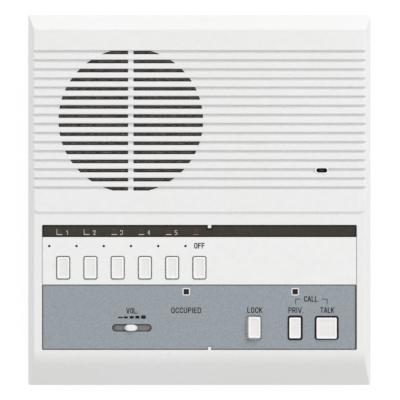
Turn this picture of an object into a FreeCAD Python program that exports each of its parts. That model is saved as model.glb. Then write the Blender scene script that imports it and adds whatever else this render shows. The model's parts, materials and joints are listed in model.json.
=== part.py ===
import FreeCAD, Part
import math
import os
import Sketcher
from types import SimpleNamespace
from FreeCAD import Placement, Rotation, Vector

# A desk intercom lying on its feet: +X to the right, +Y towards the louvred end, +Z up out of the face.
# The origin is the middle of the footprint, at the level of the desk. All lengths are millimetres.

SIZES = {
    # Case: two moulded shells that meet at the parting plane
    "case_width": 196.3,
    "foot_height": 3.0,
    "rear_depth": 20.0,
    "front_depth": 31.0,
    "rim_height": 4.0,
    "side_run": 3.4,
    "top_run": 8.4,
    "slope_run": 9.0,
    "slope_drop": 15.6,
    "blend_radius": 12.6,
    "wall": 2.5,
    "face_wall": 2.8,
    "edge_round": 0.9,
    "fit_gap": 0.15,
    "overrun": 6.0,
    # Raised louvre field
    "field_step": 1.0,
    "field_foot": 13.85,
    "field_corner": 3.0,
    "field_root": 4.0,
    "louvre_top_margin": 21.75,
    "louvre_pitch": 5.19,
    "louvre_width": 2.3,
    "louvre_depth": 1.9,
    "louvre_shallow": 1.1,
    "louvre_draft": 0.3,
    "louvre_lip": 0.2,
    "divider_width": 3.1,
    # Speaker and its grille
    "speaker_side": 58.95,
    "grille_radius": 41.3,
    "cloth_radius": 43.2,
    "cloth_thickness": 0.5,
    "flange_radius": 39.0,
    "flange_inner_radius": 33.0,
    "flange_thickness": 1.0,
    "cone_rim_thickness": 0.5,
    "basket_depth": 15.0,
    "basket_base_radius": 21.0,
    "basket_sheet": 0.8,
    "basket_hole_radius": 10.0,
    "basket_window_radius": 4.2,
    "magnet_radius": 22.5,
    "magnet_thickness": 9.0,
    "yoke_radius": 21.0,
    "yoke_thickness": 2.0,
    "pole_radius": 7.6,
    "cone_throat_radius": 9.0,
    "cone_depth": 10.0,
    "cone_thickness": 0.5,
    "surround_width": 2.6,
    "former_height": 3.2,
    "dust_cap_height": 3.0,
    "clamp_reach": 13.0,
    "clamp_width": 7.0,
    "clamp_thickness": 1.0,
    "speaker_post_radius": 3.0,
    "speaker_post_distance": 46.5,
    "tag_length": 16.0,
    "tag_width": 8.0,
    "tag_thickness": 1.2,
    "tag_blade": 1.2,
    "tag_blade_drop": 2.4,
    # Microphone
    "microphone_side": 28.25,
    "mouth_length": 6.2,
    "mouth_width": 2.45,
    "mouth_rim": 0.9,
    "mouth_rise": 0.15,
    "boot_radius": 6.6,
    "boot_depth": 6.7,
    "boot_floor": 1.2,
    "capsule_radius": 4.8,
    "microphone_ring_wall": 1.3,
    "microphone_ring_depth": 5.0,
    # Panel recess and its three plates
    "panel_side": 8.2,
    "panel_rise": 6.9,
    "panel_foot": 20.35,
    "panel_corner": 0.8,
    "recess_depth": 1.2,
    "plate_thickness": 0.9,
    "panel_gap": 0.35,
    "plate_gap": 0.15,
    "lamp_strip_height": 6.95,
    "name_strip_height": 27.25,
    "control_height": 37.25,
    "snap_tab_x": 5.8,
    "snap_tab_width": 1.9,
    "snap_tab_height": 1.8,
    "opening_margin": 0.5,
    # Station keys
    "station_key_rise": 9.7,
    "station_key_width": 6.9,
    "station_key_height": 12.3,
    "station_opening_width": 8.2,
    "station_opening_height": 13.6,
    "opening_corner": 1.4,
    "cap_corner": 0.9,
    "cap_edge_round": 0.45,
    "cap_dish_depth": 0.25,
    "cap_dish_rim": 0.85,
    "station_proud": 0.9,
    # Function keys
    "function_key_rise": 12.65,
    "lock_width": 7.1,
    "lock_height": 12.4,
    "lock_proud": 3.3,
    "lock_opening_width": 8.7,
    "lock_opening_height": 14.2,
    "private_width": 6.8,
    "private_height": 12.1,
    "private_proud": 1.5,
    "private_opening_width": 8.45,
    "private_opening_height": 14.0,
    "talk_width": 11.9,
    "talk_height": 12.2,
    "talk_proud": 1.5,
    "talk_opening_width": 13.55,
    "talk_opening_height": 13.6,
    # Key stems, plungers and springs
    "key_flange_margin": 0.75,
    "key_flange_thickness": 1.0,
    "key_flange_drop": 0.4,
    "key_stem_side": 5.4,
    "stem_foot_gap": 6.8,
    "plunger_radius": 1.5,
    "plunger_clearance": 0.08,
    "plunger_depth": 7.2,
    "plunger_socket": 4.0,
    "socket_clearance": 0.02,
    "collar_radius": 2.1,
    "collar_thickness": 0.6,
    "collar_gap": 0.2,
    "collar_clearance": 0.3,
    "spring_wire_radius": 0.25,
    "spring_radius": 2.1,
    "spring_turns_pitch": 1.2,
    "spring_seat_gap": 0.05,
    # Volume slide
    "volume_slot_length": 22.4,
    "volume_slot_width": 4.0,
    "knob_offset": -0.55,
    "knob_length": 7.5,
    "knob_width": 3.7,
    "knob_corner": 1.8,
    "knob_floor_gap": 0.4,
    "knob_socket_depth": 1.2,
    "knob_proud": 1.6,
    "knob_round": 0.8,
    "pot_length": 30.0,
    "pot_width": 9.0,
    "pot_depth": 9.0,
    "pot_ear": 5.0,
    "pot_ear_width": 12.0,
    "pot_ear_thickness": 1.5,
    "pot_screw_side": 4.4,
    "pot_pad_radius": 1.7,
    "pot_wall": 1.2,
    "slider_blade_length": 2.4,
    "slider_blade_width": 1.2,
    "slider_foot_length": 5.0,
    "slider_foot_height": 3.0,
    "slider_travel": 7.3,
    "slider_clearance": 0.2,
    "shutter_length": 37.6,
    "shutter_width": 5.2,
    "shutter_thickness": 0.3,
    "shutter_gap": 0.15,
    # Lamps and lenses
    "lamp_drop": 3.4,
    "lamp_offset_x": -2.0,
    "lens_side": 3.0,
    "lens_proud": 0.05,
    "lens_depth": 3.6,
    "lens_clearance": 0.05,
    "lamp_board_margin": 3.2,
    "lamp_board_width": 8.0,
    "lamp_board_drop": 6.0,
    "lamp_board_post_radius": 2.0,
    "small_board_thickness": 1.2,
    "bulb_radius": 1.3,
    "bulb_base_height": 2.0,
    "indicator_drop": 4.0,
    "indicator_lens_side": 3.1,
    "sleeve_radius": 3.0,
    "sleeve_depth": 8.0,
    # Main board and its posts
    "main_board_side": 7.5,
    "main_board_low_reach": 0.7,
    "main_board_high_reach": 8.3,
    "board_thickness": 1.6,
    "board_rise": 1.0,
    "board_post_side": 3.5,
    "board_post_inset": 6.0,
    "board_post_radius": 2.6,
    # Station switch bank
    "switch_body_width": 14.4,
    "switch_body_depth": 11.0,
    "switch_body_height": 9.45,
    "switch_floor": 1.4,
    "frame_half_depth": 8.0,
    "frame_height": 12.6,
    "frame_sheet": 1.0,
    "frame_foot": 4.0,
    "frame_end_margin": 9.0,
    "latch_bar_half_width": 4.0,
    "latch_bar_thickness": 1.0,
    "latch_bar_gap": 0.1,
    "latch_bar_end_margin": 7.0,
    "latch_travel": 1.5,
    "function_switch_side": 11.4,
    # Rear cover
    "rear_inset": 1.5,
    "rear_corner": 3.0,
    "rear_floor": 2.5,
    "lip_height": 2.0,
    "case_post_side": 13.5,
    "case_post_top_inset": 17.5,
    "case_post_low_inset": 12.5,
    "case_post_radius": 3.6,
    "rear_pillar_radius": 4.6,
    "case_screw_radius": 1.5,
    "case_screw_clearance": 0.2,
    "case_screw_head_radius": 3.0,
    "case_screw_head_height": 2.4,
    "case_screw_bite": 12.0,
    "counterbore_depth": 6.0,
    "counterbore_radius": 3.4,
    "foot_side": 18.15,
    "foot_inset": 34.08,
    "foot_radius": 6.0,
    "foot_recess": 0.6,
    "foot_round": 0.8,
    "wall_hole_spacing": 83.5,
    "wall_hole_radius": 2.25,
    "cable_entry_side": 49.15,
    "cable_entry_inset": 16.08,
    "cable_entry_length": 30.0,
    "cable_entry_width": 12.0,
    "cable_entry_corner": 2.0,
    "vent_width": 2.4,
    "vent_length": 26.0,
    "vent_inset": 41.5,
    # Amplifier board on the rear cover
    "amplifier_width": 74.0,
    "amplifier_length": 66.0,
    "amplifier_side": 11.5,
    "amplifier_inset": 25.5,
    "amplifier_rise": 8.5,
    "amplifier_post_inset": 4.0,
    "amplifier_post_radius": 2.8,
    "transformer_from_left": 22.0,
    "transformer_from_low": 20.0,
    "core_length": 24.0,
    "core_stack": 10.0,
    "core_height": 20.0,
    "core_yoke": 4.0,
    "core_leg_half": 3.0,
    "coil_stack": 18.0,
    "coil_gap": 0.1,
    "capacitor_radius": 5.0,
    "capacitor_height": 15.0,
    "capacitor_from_left": 48.0,
    "capacitor_from_low": 14.0,
    "capacitor_pitch": 13.0,
    "capacitor_vent": 0.3,
    "transistor_radius": 2.5,
    "transistor_height": 5.0,
    "transistor_flat": 1.0,
    "transistor_from_left": 14.0,
    "transistor_from_low": 40.0,
    "transistor_pitch": 9.0,
    "transistor_leg": 1.5,
    "transistor_leg_side": 0.5,
    "terminal_length": 50.0,
    "terminal_depth": 13.0,
    "terminal_edge": 1.0,
    "terminal_height": 8.0,
    "terminal_wall": 1.2,
    "terminal_step": 4.0,
    "terminal_screw_radius": 2.6,
    "terminal_screw_height": 1.8,
    "terminal_screw_slot": 0.6,
    # Small fasteners
    "screw_radius": 1.0,
    "screw_head_radius": 2.1,
    "screw_head_height": 1.5,
    "screw_bite": 7.0,
    "screw_clearance": 0.02,
    "screw_recess": 0.5,
    "screw_into_face": 0.7,
    "pilot_spare": 1.5,
    "lamp_screw_bite": 4.8,
    # Leads inside the case
    "lead_radius": 0.9,
    "lead_hump": 4.5,
    "lead_floor_gap": 2.7,
    "lead_drop": 7.0,
    "lead_landing": 9.4,
    "ribbon_thickness": 0.8,
    "ribbon_width": 16.0,
    "ribbon_from_left": 36.0,
    "ribbon_header_height": 4.0,
    "ribbon_header_depth": 4.0,
    "ribbon_reach": 7.0,
}

STATION_COUNT = 5
LOUVRE_COUNT = 16
MICROPHONE_ROW = 13
VENT_COUNT = 7
BASKET_WINDOW_COUNT = 6
CAPACITOR_COUNT = 3
TRANSISTOR_COUNT = 3
TERMINAL_COUNT = 6
FULL_TURN = 360.0
QUARTER_TURN = 90.0
HALF = 0.5
ARC_SHARE = 0.45
DOME_KNEE_SHARE = 0.6
DOME_RISE_SHARE = 0.75
CRIMP_SHARE = 0.12
ARM_LENGTH_SHARE = 0.6
ARM_WIDTH_SHARE = 0.16
SPEAKER_LEAD_SHARES = (0.37, 0.74)

# Places across the panel, as shares of its width, and across the floor, as shares of the feet's distance
KEY_PITCH_SHARE = 0.0865
VOLUME_SHARE = -0.2143
OCCUPIED_SHARE = -0.0418
LOCK_SHARE = 0.172
PRIVATE_SHARE = 0.304
TALK_SHARE = 0.404
VENT_FIRST_SHARE = 0.25
VENT_PITCH_SHARE = 0.0875

doc = FreeCAD.newDocument("desk_intercom")
sheet = doc.addObject("Spreadsheet::Sheet", "Sizes")
for row, (alias, amount) in enumerate(SIZES.items(), start=1):
    sheet.set(f"A{row}", alias)
    sheet.set(f"B{row}", str(amount))
    sheet.setAlias(f"B{row}", alias)
doc.recompute()


class Size:
    """A length worked out from the sheet: its value, and the same sum written on the sheet's cells."""

    def __init__(self, value, text):
        self.value = value
        self.text = text

    def __add__(self, other):
        other = as_size(other)
        return Size(self.value + other.value, f"({self.text} + {other.text})")

    def __sub__(self, other):
        other = as_size(other)
        return Size(self.value - other.value, f"({self.text} - {other.text})")

    def __mul__(self, other):
        other = as_size(other)
        return Size(self.value * other.value, f"({self.text} * {other.text})")

    def __truediv__(self, other):
        other = as_size(other)
        return Size(self.value / other.value, f"({self.text} / {other.text})")

    def __neg__(self):
        return Size(-self.value, f"(0 - {self.text})")


def as_size(item):
    return item if isinstance(item, Size) else Size(float(item), f"({float(item)})")


def root(item):
    return Size(math.sqrt(item.value), f"sqrt({item.text})")


def smaller(first, second):
    return first if first.value <= second.value else second


s = SimpleNamespace(**{alias: Size(float(sheet.get(alias)), f"Sizes.{alias}") for alias in SIZES})


# Helpers for primitives

def put(item, x=0, y=0, z=0):
    for axis, amount in zip("xyz", (x, y, z)):
        item.setExpression(f"Placement.Base.{axis}", as_size(amount).text)
    return item


def block(name, low, high):
    item = doc.addObject("Part::Box", name)
    for edge, start, stop in zip(("Length", "Width", "Height"), low, high):
        item.setExpression(edge, (as_size(stop) - start).text)
    return put(item, *low)


def centred_block(name, x, y, width, height, low_z, high_z):
    low = (as_size(x) - width / 2, as_size(y) - height / 2, low_z)
    high = (as_size(x) + width / 2, as_size(y) + height / 2, high_z)
    return block(name, low, high)


def rod(name, radius, x, y, low_z, high_z):
    item = doc.addObject("Part::Cylinder", name)
    item.setExpression("Radius", radius.text)
    item.setExpression("Height", (as_size(high_z) - low_z).text)
    return put(item, x, y, low_z)


def fuse(name, *pieces):
    item = doc.addObject("Part::MultiFuse", name)
    item.Shapes = list(pieces)
    return item


def cut(name, base, *tools):
    item = doc.addObject("Part::Cut", name)
    item.Base = base
    item.Tool = tools[0] if len(tools) == 1 else fuse(f"{name}_tools", *tools)
    return item


def common(name, first, second):
    item = doc.addObject("Part::Common", name)
    item.Base = first
    item.Tool = second
    return item


def group(name, pieces):
    item = doc.addObject("Part::Compound", name)
    item.Links = list(pieces)
    return item


def rounded(name, base, radius, test):
    """Round the edges of a piece that pass the test, which gets each edge's two end points."""
    doc.recompute()
    item = doc.addObject("Part::Fillet", name)
    item.Base = base
    picked = []
    for index, edge in enumerate(base.Shape.Edges, start=1):
        ends = [vertex.Point for vertex in edge.Vertexes]
        if test(ends[0], ends[-1]):
            picked.append((index, radius.value, radius.value))
    item.Edges = picked
    return item


# Helpers for sketched bodies

def new_body(name):
    return doc.addObject("PartDesign::Body", name)


def new_sketch(body, plane, lift=0):
    item = body.newObject("Sketcher::SketchObject", f"{body.Name}_sketch")
    support = next(part for part in body.Origin.OriginFeatures if part.Role == plane)
    item.AttachmentSupport = [(support, "")]
    item.MapMode = "FlatFace"
    item.setExpression("AttachmentOffset.Base.z", as_size(lift).text)
    return item


def pin(sketch, edge, end, x, y):
    for kind, amount in (("DistanceX", x), ("DistanceY", y)):
        index = sketch.addConstraint(Sketcher.Constraint(kind, -1, 1, edge, end, amount.value))
        sketch.setExpression(f"Constraints[{index}]", amount.text)


def outline(sketch, corners, arcs=None):
    """A closed outline through corners; arcs maps an edge's number to its centre, radius and direction."""
    arcs = arcs or {}
    corners = [(as_size(x), as_size(y)) for x, y in corners]
    points = [Vector(x.value, y.value, 0) for x, y in corners]
    edges = []
    for number, start in enumerate(points):
        stop = points[(number + 1) % len(points)]
        if number not in arcs:
            edges.append((sketch.addGeometry(Part.LineSegment(start, stop), False), 1, 2))
            continue
        x, y, radius, turn = arcs[number]
        centre = Vector(as_size(x).value, as_size(y).value, 0)
        first, last = (start, stop) if turn > 0 else (stop, start)
        angles = [math.atan2((end - centre).y, (end - centre).x) for end in (first, last)]
        circle = Part.Circle(centre, Vector(0, 0, 1), as_size(radius).value)
        edge = sketch.addGeometry(Part.ArcOfCircle(circle, *angles), False)
        edges.append((edge, 1, 2) if turn > 0 else (edge, 2, 1))
    for number, (edge, begin, end) in enumerate(edges):
        following, following_begin, following_end = edges[(number + 1) % len(edges)]
        sketch.addConstraint(Sketcher.Constraint("Coincident", edge, end, following, following_begin))
    for number, (edge, begin, end) in enumerate(edges):
        pin(sketch, edge, begin, *corners[number])
        if number in arcs:
            chord = points[(number + 1) % len(points)] - points[number]
            kind, place = ("DistanceX", 0) if abs(chord.y) > abs(chord.x) else ("DistanceY", 1)
            centre = as_size(arcs[number][place])
            index = sketch.addConstraint(Sketcher.Constraint(kind, -1, 1, edge, 3, centre.value))
            sketch.setExpression(f"Constraints[{index}]", centre.text)


def rounded_outline(sketch, x, y, width, height, radius):
    x, y = as_size(x), as_size(y)
    left, right = x - width / 2, x + width / 2
    low, high = y - height / 2, y + height / 2
    corners = [
        (left + radius, low), (right - radius, low), (right, low + radius), (right, high - radius),
        (right - radius, high), (left + radius, high), (left, high - radius), (left, low + radius),
    ]
    arcs = {
        1: (right - radius, low + radius, radius, 1),
        3: (right - radius, high - radius, radius, 1),
        5: (left + radius, high - radius, radius, 1),
        7: (left + radius, low + radius, radius, 1),
    }
    outline(sketch, corners, arcs)


def oblong_outline(sketch, x, y, length, width):
    """A slot along X with round ends."""
    x, y = as_size(x), as_size(y)
    radius = width / 2
    left, right = x - length / 2 + radius, x + length / 2 - radius
    corners = [(left, y - radius), (right, y - radius), (right, y + radius), (left, y + radius)]
    outline(sketch, corners, {1: (right, y, radius, 1), 3: (left, y, radius, 1)})


def pad(body, sketch, length, midplane=False):
    item = body.newObject("PartDesign::Pad", f"{body.Name}_pad")
    item.Profile = sketch
    item.Midplane = midplane
    item.setExpression("Length", as_size(length).text)
    return item


def rounded_block(name, x, y, width, height, radius, low_z, high_z):
    body = new_body(name)
    sketch = new_sketch(body, "XY_Plane", low_z)
    rounded_outline(sketch, x, y, width, height, radius)
    pad(body, sketch, as_size(high_z) - low_z)
    return body


def oblong_block(name, x, y, length, width, low_z, high_z):
    body = new_body(name)
    sketch = new_sketch(body, "XY_Plane", low_z)
    oblong_outline(sketch, x, y, length, width)
    pad(body, sketch, as_size(high_z) - low_z)
    return body


def turned(name, x, y, profile, arcs=None):
    """A piece turned about an upright axis at x, y from a profile of (radius, height) corners."""
    body = new_body(name)
    sketch = new_sketch(body, "XZ_Plane")
    outline(sketch, profile, arcs)
    item = body.newObject("PartDesign::Revolution", f"{name}_revolution")
    item.Profile = sketch
    item.ReferenceAxis = (sketch, ["V_Axis"])
    item.Angle = FULL_TURN
    return put(body, x, y)


pieces = {}


def keep(name, item):
    """Name a finished piece of the intercom."""
    item.Label = name
    pieces[name] = item
    return item


# Levels, from the desk up
floor_z = s.foot_height + s.rear_floor
parting_z = s.foot_height + s.rear_depth
rim_z = parting_z + s.rim_height
face_z = parting_z + s.front_depth
field_z = face_z + s.field_step
recess_z = face_z - s.recess_depth
plate_z = recess_z + s.plate_thickness
inner_z = face_z - s.face_wall
pot_top_z = inner_z - s.shutter_thickness - s.shutter_gap * 2
main_board_z = parting_z + s.board_rise
main_board_top_z = main_board_z + s.board_thickness
switch_top_z = main_board_top_z + s.frame_height
stem_foot_z = switch_top_z + s.stem_foot_gap


# Places on the face: its length is the louvres, the panel and the plain stretches round them
louvre_run = s.louvre_pitch * (LOUVRE_COUNT - 1)
panel_height = s.lamp_strip_height + s.name_strip_height + s.control_height
case_length = (s.louvre_top_margin + louvre_run + s.field_foot + s.panel_rise + panel_height
               + s.panel_foot)
half_width = s.case_width / 2
half_length = case_length / 2
louvre_first_y = half_length - s.louvre_top_margin
field_low_y = louvre_first_y - louvre_run - s.field_foot
speaker_x = s.speaker_side - half_width
speaker_y = louvre_first_y - louvre_run / 2
microphone_x = half_width - s.microphone_side
microphone_y = louvre_first_y - s.louvre_pitch * MICROPHONE_ROW
panel_width = s.case_width - s.panel_side * 2
panel_top_y = field_low_y - s.panel_rise
panel_low_y = panel_top_y - panel_height
strip_low_y = panel_top_y - s.lamp_strip_height
name_low_y = strip_low_y - s.name_strip_height
lamp_y = panel_top_y - s.lamp_drop
station_key_y = name_low_y + s.station_key_rise
function_key_y = panel_low_y + s.function_key_rise
indicator_y = name_low_y - s.indicator_drop
key_pitch = panel_width * KEY_PITCH_SHARE
key_places = [(number, key_pitch * (number - STATION_COUNT)) for number in range(STATION_COUNT + 1)]
first_key_x, last_key_x = key_places[0][1], key_places[-1][1]
volume_x = panel_width * VOLUME_SHARE
lock_x = panel_width * LOCK_SHARE
private_x = panel_width * PRIVATE_SHARE
talk_x = panel_width * TALK_SHARE
indicator_places = (panel_width * OCCUPIED_SHARE, private_x)

# Places inside the case, from its walls and from each other
main_board_half_width = half_width - s.main_board_side
main_board_low_y = panel_low_y - s.main_board_low_reach
main_board_high_y = panel_top_y + s.main_board_high_reach
board_post_x = main_board_half_width - s.board_post_side
case_post_x = half_width - s.case_post_side
case_post_low_y = s.case_post_low_inset - half_length
case_post_high_y = half_length - s.case_post_top_inset
foot_x = half_width - s.foot_side
foot_y = half_length - s.foot_inset
cable_entry_x = half_width - s.cable_entry_side
cable_entry_y = half_length - s.cable_entry_inset
vent_y = s.vent_inset - half_length
amplifier_high_x = half_width - s.amplifier_side
amplifier_low_x = amplifier_high_x - s.amplifier_width
amplifier_high_y = half_length - s.amplifier_inset
amplifier_low_y = amplifier_high_y - s.amplifier_length
terminal_pitch = (s.terminal_length - s.terminal_wall) / TERMINAL_COUNT
ribbon_x = amplifier_low_x + s.ribbon_from_left


# Front cover

def draft_prism(name, low_z, high_z, inset):
    """The case seen from its end: upright rim, then both sides leaning in at the moulding draft."""
    drop = s.front_depth + s.field_step - s.rim_height
    lean = s.side_run / drop
    body = new_body(name)
    sketch = new_sketch(body, "XZ_Plane")
    base = half_width - inset
    top = base - lean * (high_z - rim_z)
    if low_z.value < rim_z.value:
        right = [(base, low_z), (base, rim_z), (top, high_z)]
    else:
        right = [(base - lean * (low_z - rim_z), low_z), (top, high_z)]
    left = [(-x, z) for x, z in reversed(right)]
    outline(sketch, right + left)
    pad(body, sketch, case_length + s.overrun, midplane=True)
    return body


def bevel_y(z, inset):
    """Where the steep upper bevel stands at the level z."""
    drop = s.front_depth + s.field_step - s.rim_height
    return half_length - inset - s.top_run / drop * (z - rim_z)


def side_profile(name, top_z, inset, blend):
    """The case seen from its side: upper bevel, flat face, blend and lower slope."""
    body = new_body(name)
    sketch = new_sketch(body, "YZ_Plane")
    slope_length = root(s.slope_run * s.slope_run + s.slope_drop * s.slope_drop)
    blend_y = -half_length + s.slope_run + s.blend_radius * s.slope_drop / slope_length
    blend_z = top_z - blend
    slope_top_y = blend_y - blend * s.slope_drop / slope_length
    slope_top_z = blend_z + blend * s.slope_run / slope_length
    low_y = -half_length + inset
    slope_low_z = slope_top_z - (slope_top_y - low_y) * s.slope_drop / s.slope_run
    corners = [
        (low_y, parting_z), (half_length - inset, parting_z), (half_length - inset, rim_z),
        (bevel_y(top_z, inset), top_z), (blend_y, top_z), (slope_top_y, slope_top_z), (low_y, slope_low_z),
    ]
    outline(sketch, corners, {4: (blend_y, blend_z, blend, 1)})
    pad(body, sketch, s.case_width + s.overrun, midplane=True)
    return body


def field_profile(name):
    """The raised louvre field seen from its side."""
    body = new_body(name)
    sketch = new_sketch(body, "YZ_Plane")
    low_z = face_z - s.field_root
    corners = [
        (field_low_y, low_z), (bevel_y(low_z, as_size(0)), low_z),
        (bevel_y(field_z, as_size(0)), field_z), (field_low_y, field_z),
    ]
    outline(sketch, corners)
    pad(body, sketch, s.case_width + s.overrun, midplane=True)
    return body


def louvre_grooves():
    """Shallow grooves across the whole field: a leaning upper wall, a floor that rises, rounded lips."""
    body = new_body("louvre_grooves")
    sketch = new_sketch(body, "YZ_Plane")
    half = s.louvre_width / 2
    low = field_z - s.louvre_depth
    high = field_z + s.overrun
    lip_z = field_z - s.louvre_lip
    mid = louvre_first_y
    corners = [
        (mid - half, field_z - s.louvre_shallow), (mid + half - s.louvre_draft, low),
        (mid + half, lip_z), (mid + half + s.louvre_lip, field_z),
        (mid + half + s.louvre_lip, high), (mid - half - s.louvre_lip, high),
        (mid - half - s.louvre_lip, field_z), (mid - half, lip_z),
    ]
    arcs = {
        2: (mid + half + s.louvre_lip, lip_z, s.louvre_lip, -1),
        6: (mid - half - s.louvre_lip, lip_z, s.louvre_lip, -1),
    }
    outline(sketch, corners, arcs)
    first = pad(body, sketch, s.case_width + s.overrun, midplane=True)
    repeat = body.newObject("PartDesign::LinearPattern", "louvre_repeat")
    repeat.Originals = [first]
    repeat.Direction = (sketch, ["H_Axis"])
    repeat.Reversed = True
    repeat.setExpression("Length", (s.louvre_pitch * (LOUVRE_COUNT - 1)).text)
    repeat.Occurrences = LOUVRE_COUNT
    body.Tip = repeat
    return body


def grille_slots():
    """The same grooves opened right through inside the round grille, with an upright divider left in."""
    slots = []
    for number in range(LOUVRE_COUNT):
        y = louvre_first_y - s.louvre_pitch * number - s.louvre_draft / 2
        slots.append(centred_block(f"grille_slot_{number}", speaker_x, y, s.grille_radius * 2,
                                   s.louvre_width - s.louvre_draft, inner_z - s.overrun, field_z))
    disc = rod("grille_disc", s.grille_radius, speaker_x, speaker_y, inner_z - s.overrun, field_z)
    round_slots = common("grille_round_slots", fuse("grille_slot_rows", *slots), disc)
    divider = centred_block("grille_divider", speaker_x, speaker_y, s.divider_width,
                            s.grille_radius * 2 + s.overrun, inner_z - s.overrun * 2, field_z)
    return cut("grille_slots", round_slots, divider)


def microphone_tools():
    """A rounded rim that fills one groove, and the mouth through it."""
    low = field_z - s.louvre_depth - s.face_wall / 2
    rim = oblong_block("microphone_rim", microphone_x, microphone_y, s.mouth_length + s.mouth_rim * 2,
                       s.mouth_width + s.mouth_rim * 2, low, field_z + s.mouth_rise)
    mouth = oblong_block("microphone_mouth", microphone_x, microphone_y, s.mouth_length, s.mouth_width,
                         inner_z - s.overrun / 2, field_z + s.overrun)
    return rim, mouth


def key_table():
    """Every key: name, place, cap size, opening size and how far it stands out of its plate."""
    rows = []
    for number, x in key_places:
        name = f"station_key_{number + 1}" if number < STATION_COUNT else "off_key"
        rows.append((name, x, station_key_y, s.station_key_width, s.station_key_height,
                     s.station_opening_width, s.station_opening_height, s.station_proud))
    rows.append(("lock_key", lock_x, function_key_y, s.lock_width, s.lock_height,
                 s.lock_opening_width, s.lock_opening_height, s.lock_proud))
    rows.append(("private_key", private_x, function_key_y, s.private_width, s.private_height,
                 s.private_opening_width, s.private_opening_height, s.private_proud))
    rows.append(("talk_key", talk_x, function_key_y, s.talk_width, s.talk_height,
                 s.talk_opening_width, s.talk_opening_height, s.talk_proud))
    return rows


KEYS = key_table()


def lamp_places():
    return [x + s.lamp_offset_x for number, x in key_places]


def lens_openings(name, places, y, side, low_z, high_z):
    return [centred_block(f"{name}_{number}", x, y, side, side, low_z, high_z)
            for number, x in enumerate(places)]


def snap_tabs(name, margin, high_z):
    """Two small tabs of the cover that hold the panel at its upper and lower edge."""
    width = s.snap_tab_width + margin * 2
    left, right = s.snap_tab_x - width / 2, s.snap_tab_x + width / 2
    reach = s.snap_tab_height + margin
    top = block(f"{name}_upper", (left, panel_top_y - reach, inner_z),
                (right, panel_top_y + s.panel_gap, high_z))
    low = block(f"{name}_lower", (left, panel_low_y - s.panel_gap, inner_z),
                (right, panel_low_y + reach, high_z))
    return [top, low]


def speaker_posts():
    """Places of the four clamping posts, on the diagonals round the speaker."""
    reach = s.speaker_post_distance / root(as_size(2))
    return [(speaker_x + reach * side, speaker_y + reach * end) for side in (-1, 1) for end in (-1, 1)]


def case_posts():
    return [(case_post_x * side, y) for side in (-1, 1) for y in (case_post_low_y, case_post_high_y)]


def main_board_posts():
    return [(board_post_x * side, y) for side in (-1, 1)
            for y in (main_board_low_y + s.board_post_inset, main_board_high_y - s.board_post_inset)]


def lamp_board_posts():
    lamps = lamp_places()
    return [((lamps[0] + lamps[1]) / 2, lamp_y), ((lamps[-2] + lamps[-1]) / 2, lamp_y)]


cloth_low_z = inner_z - s.cloth_thickness
flange_top_z = cloth_low_z - s.cone_rim_thickness
flange_low_z = flange_top_z - s.flange_thickness
lamp_board_top_z = inner_z - s.lamp_board_drop
pilot_radius = s.screw_radius + s.screw_clearance


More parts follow.
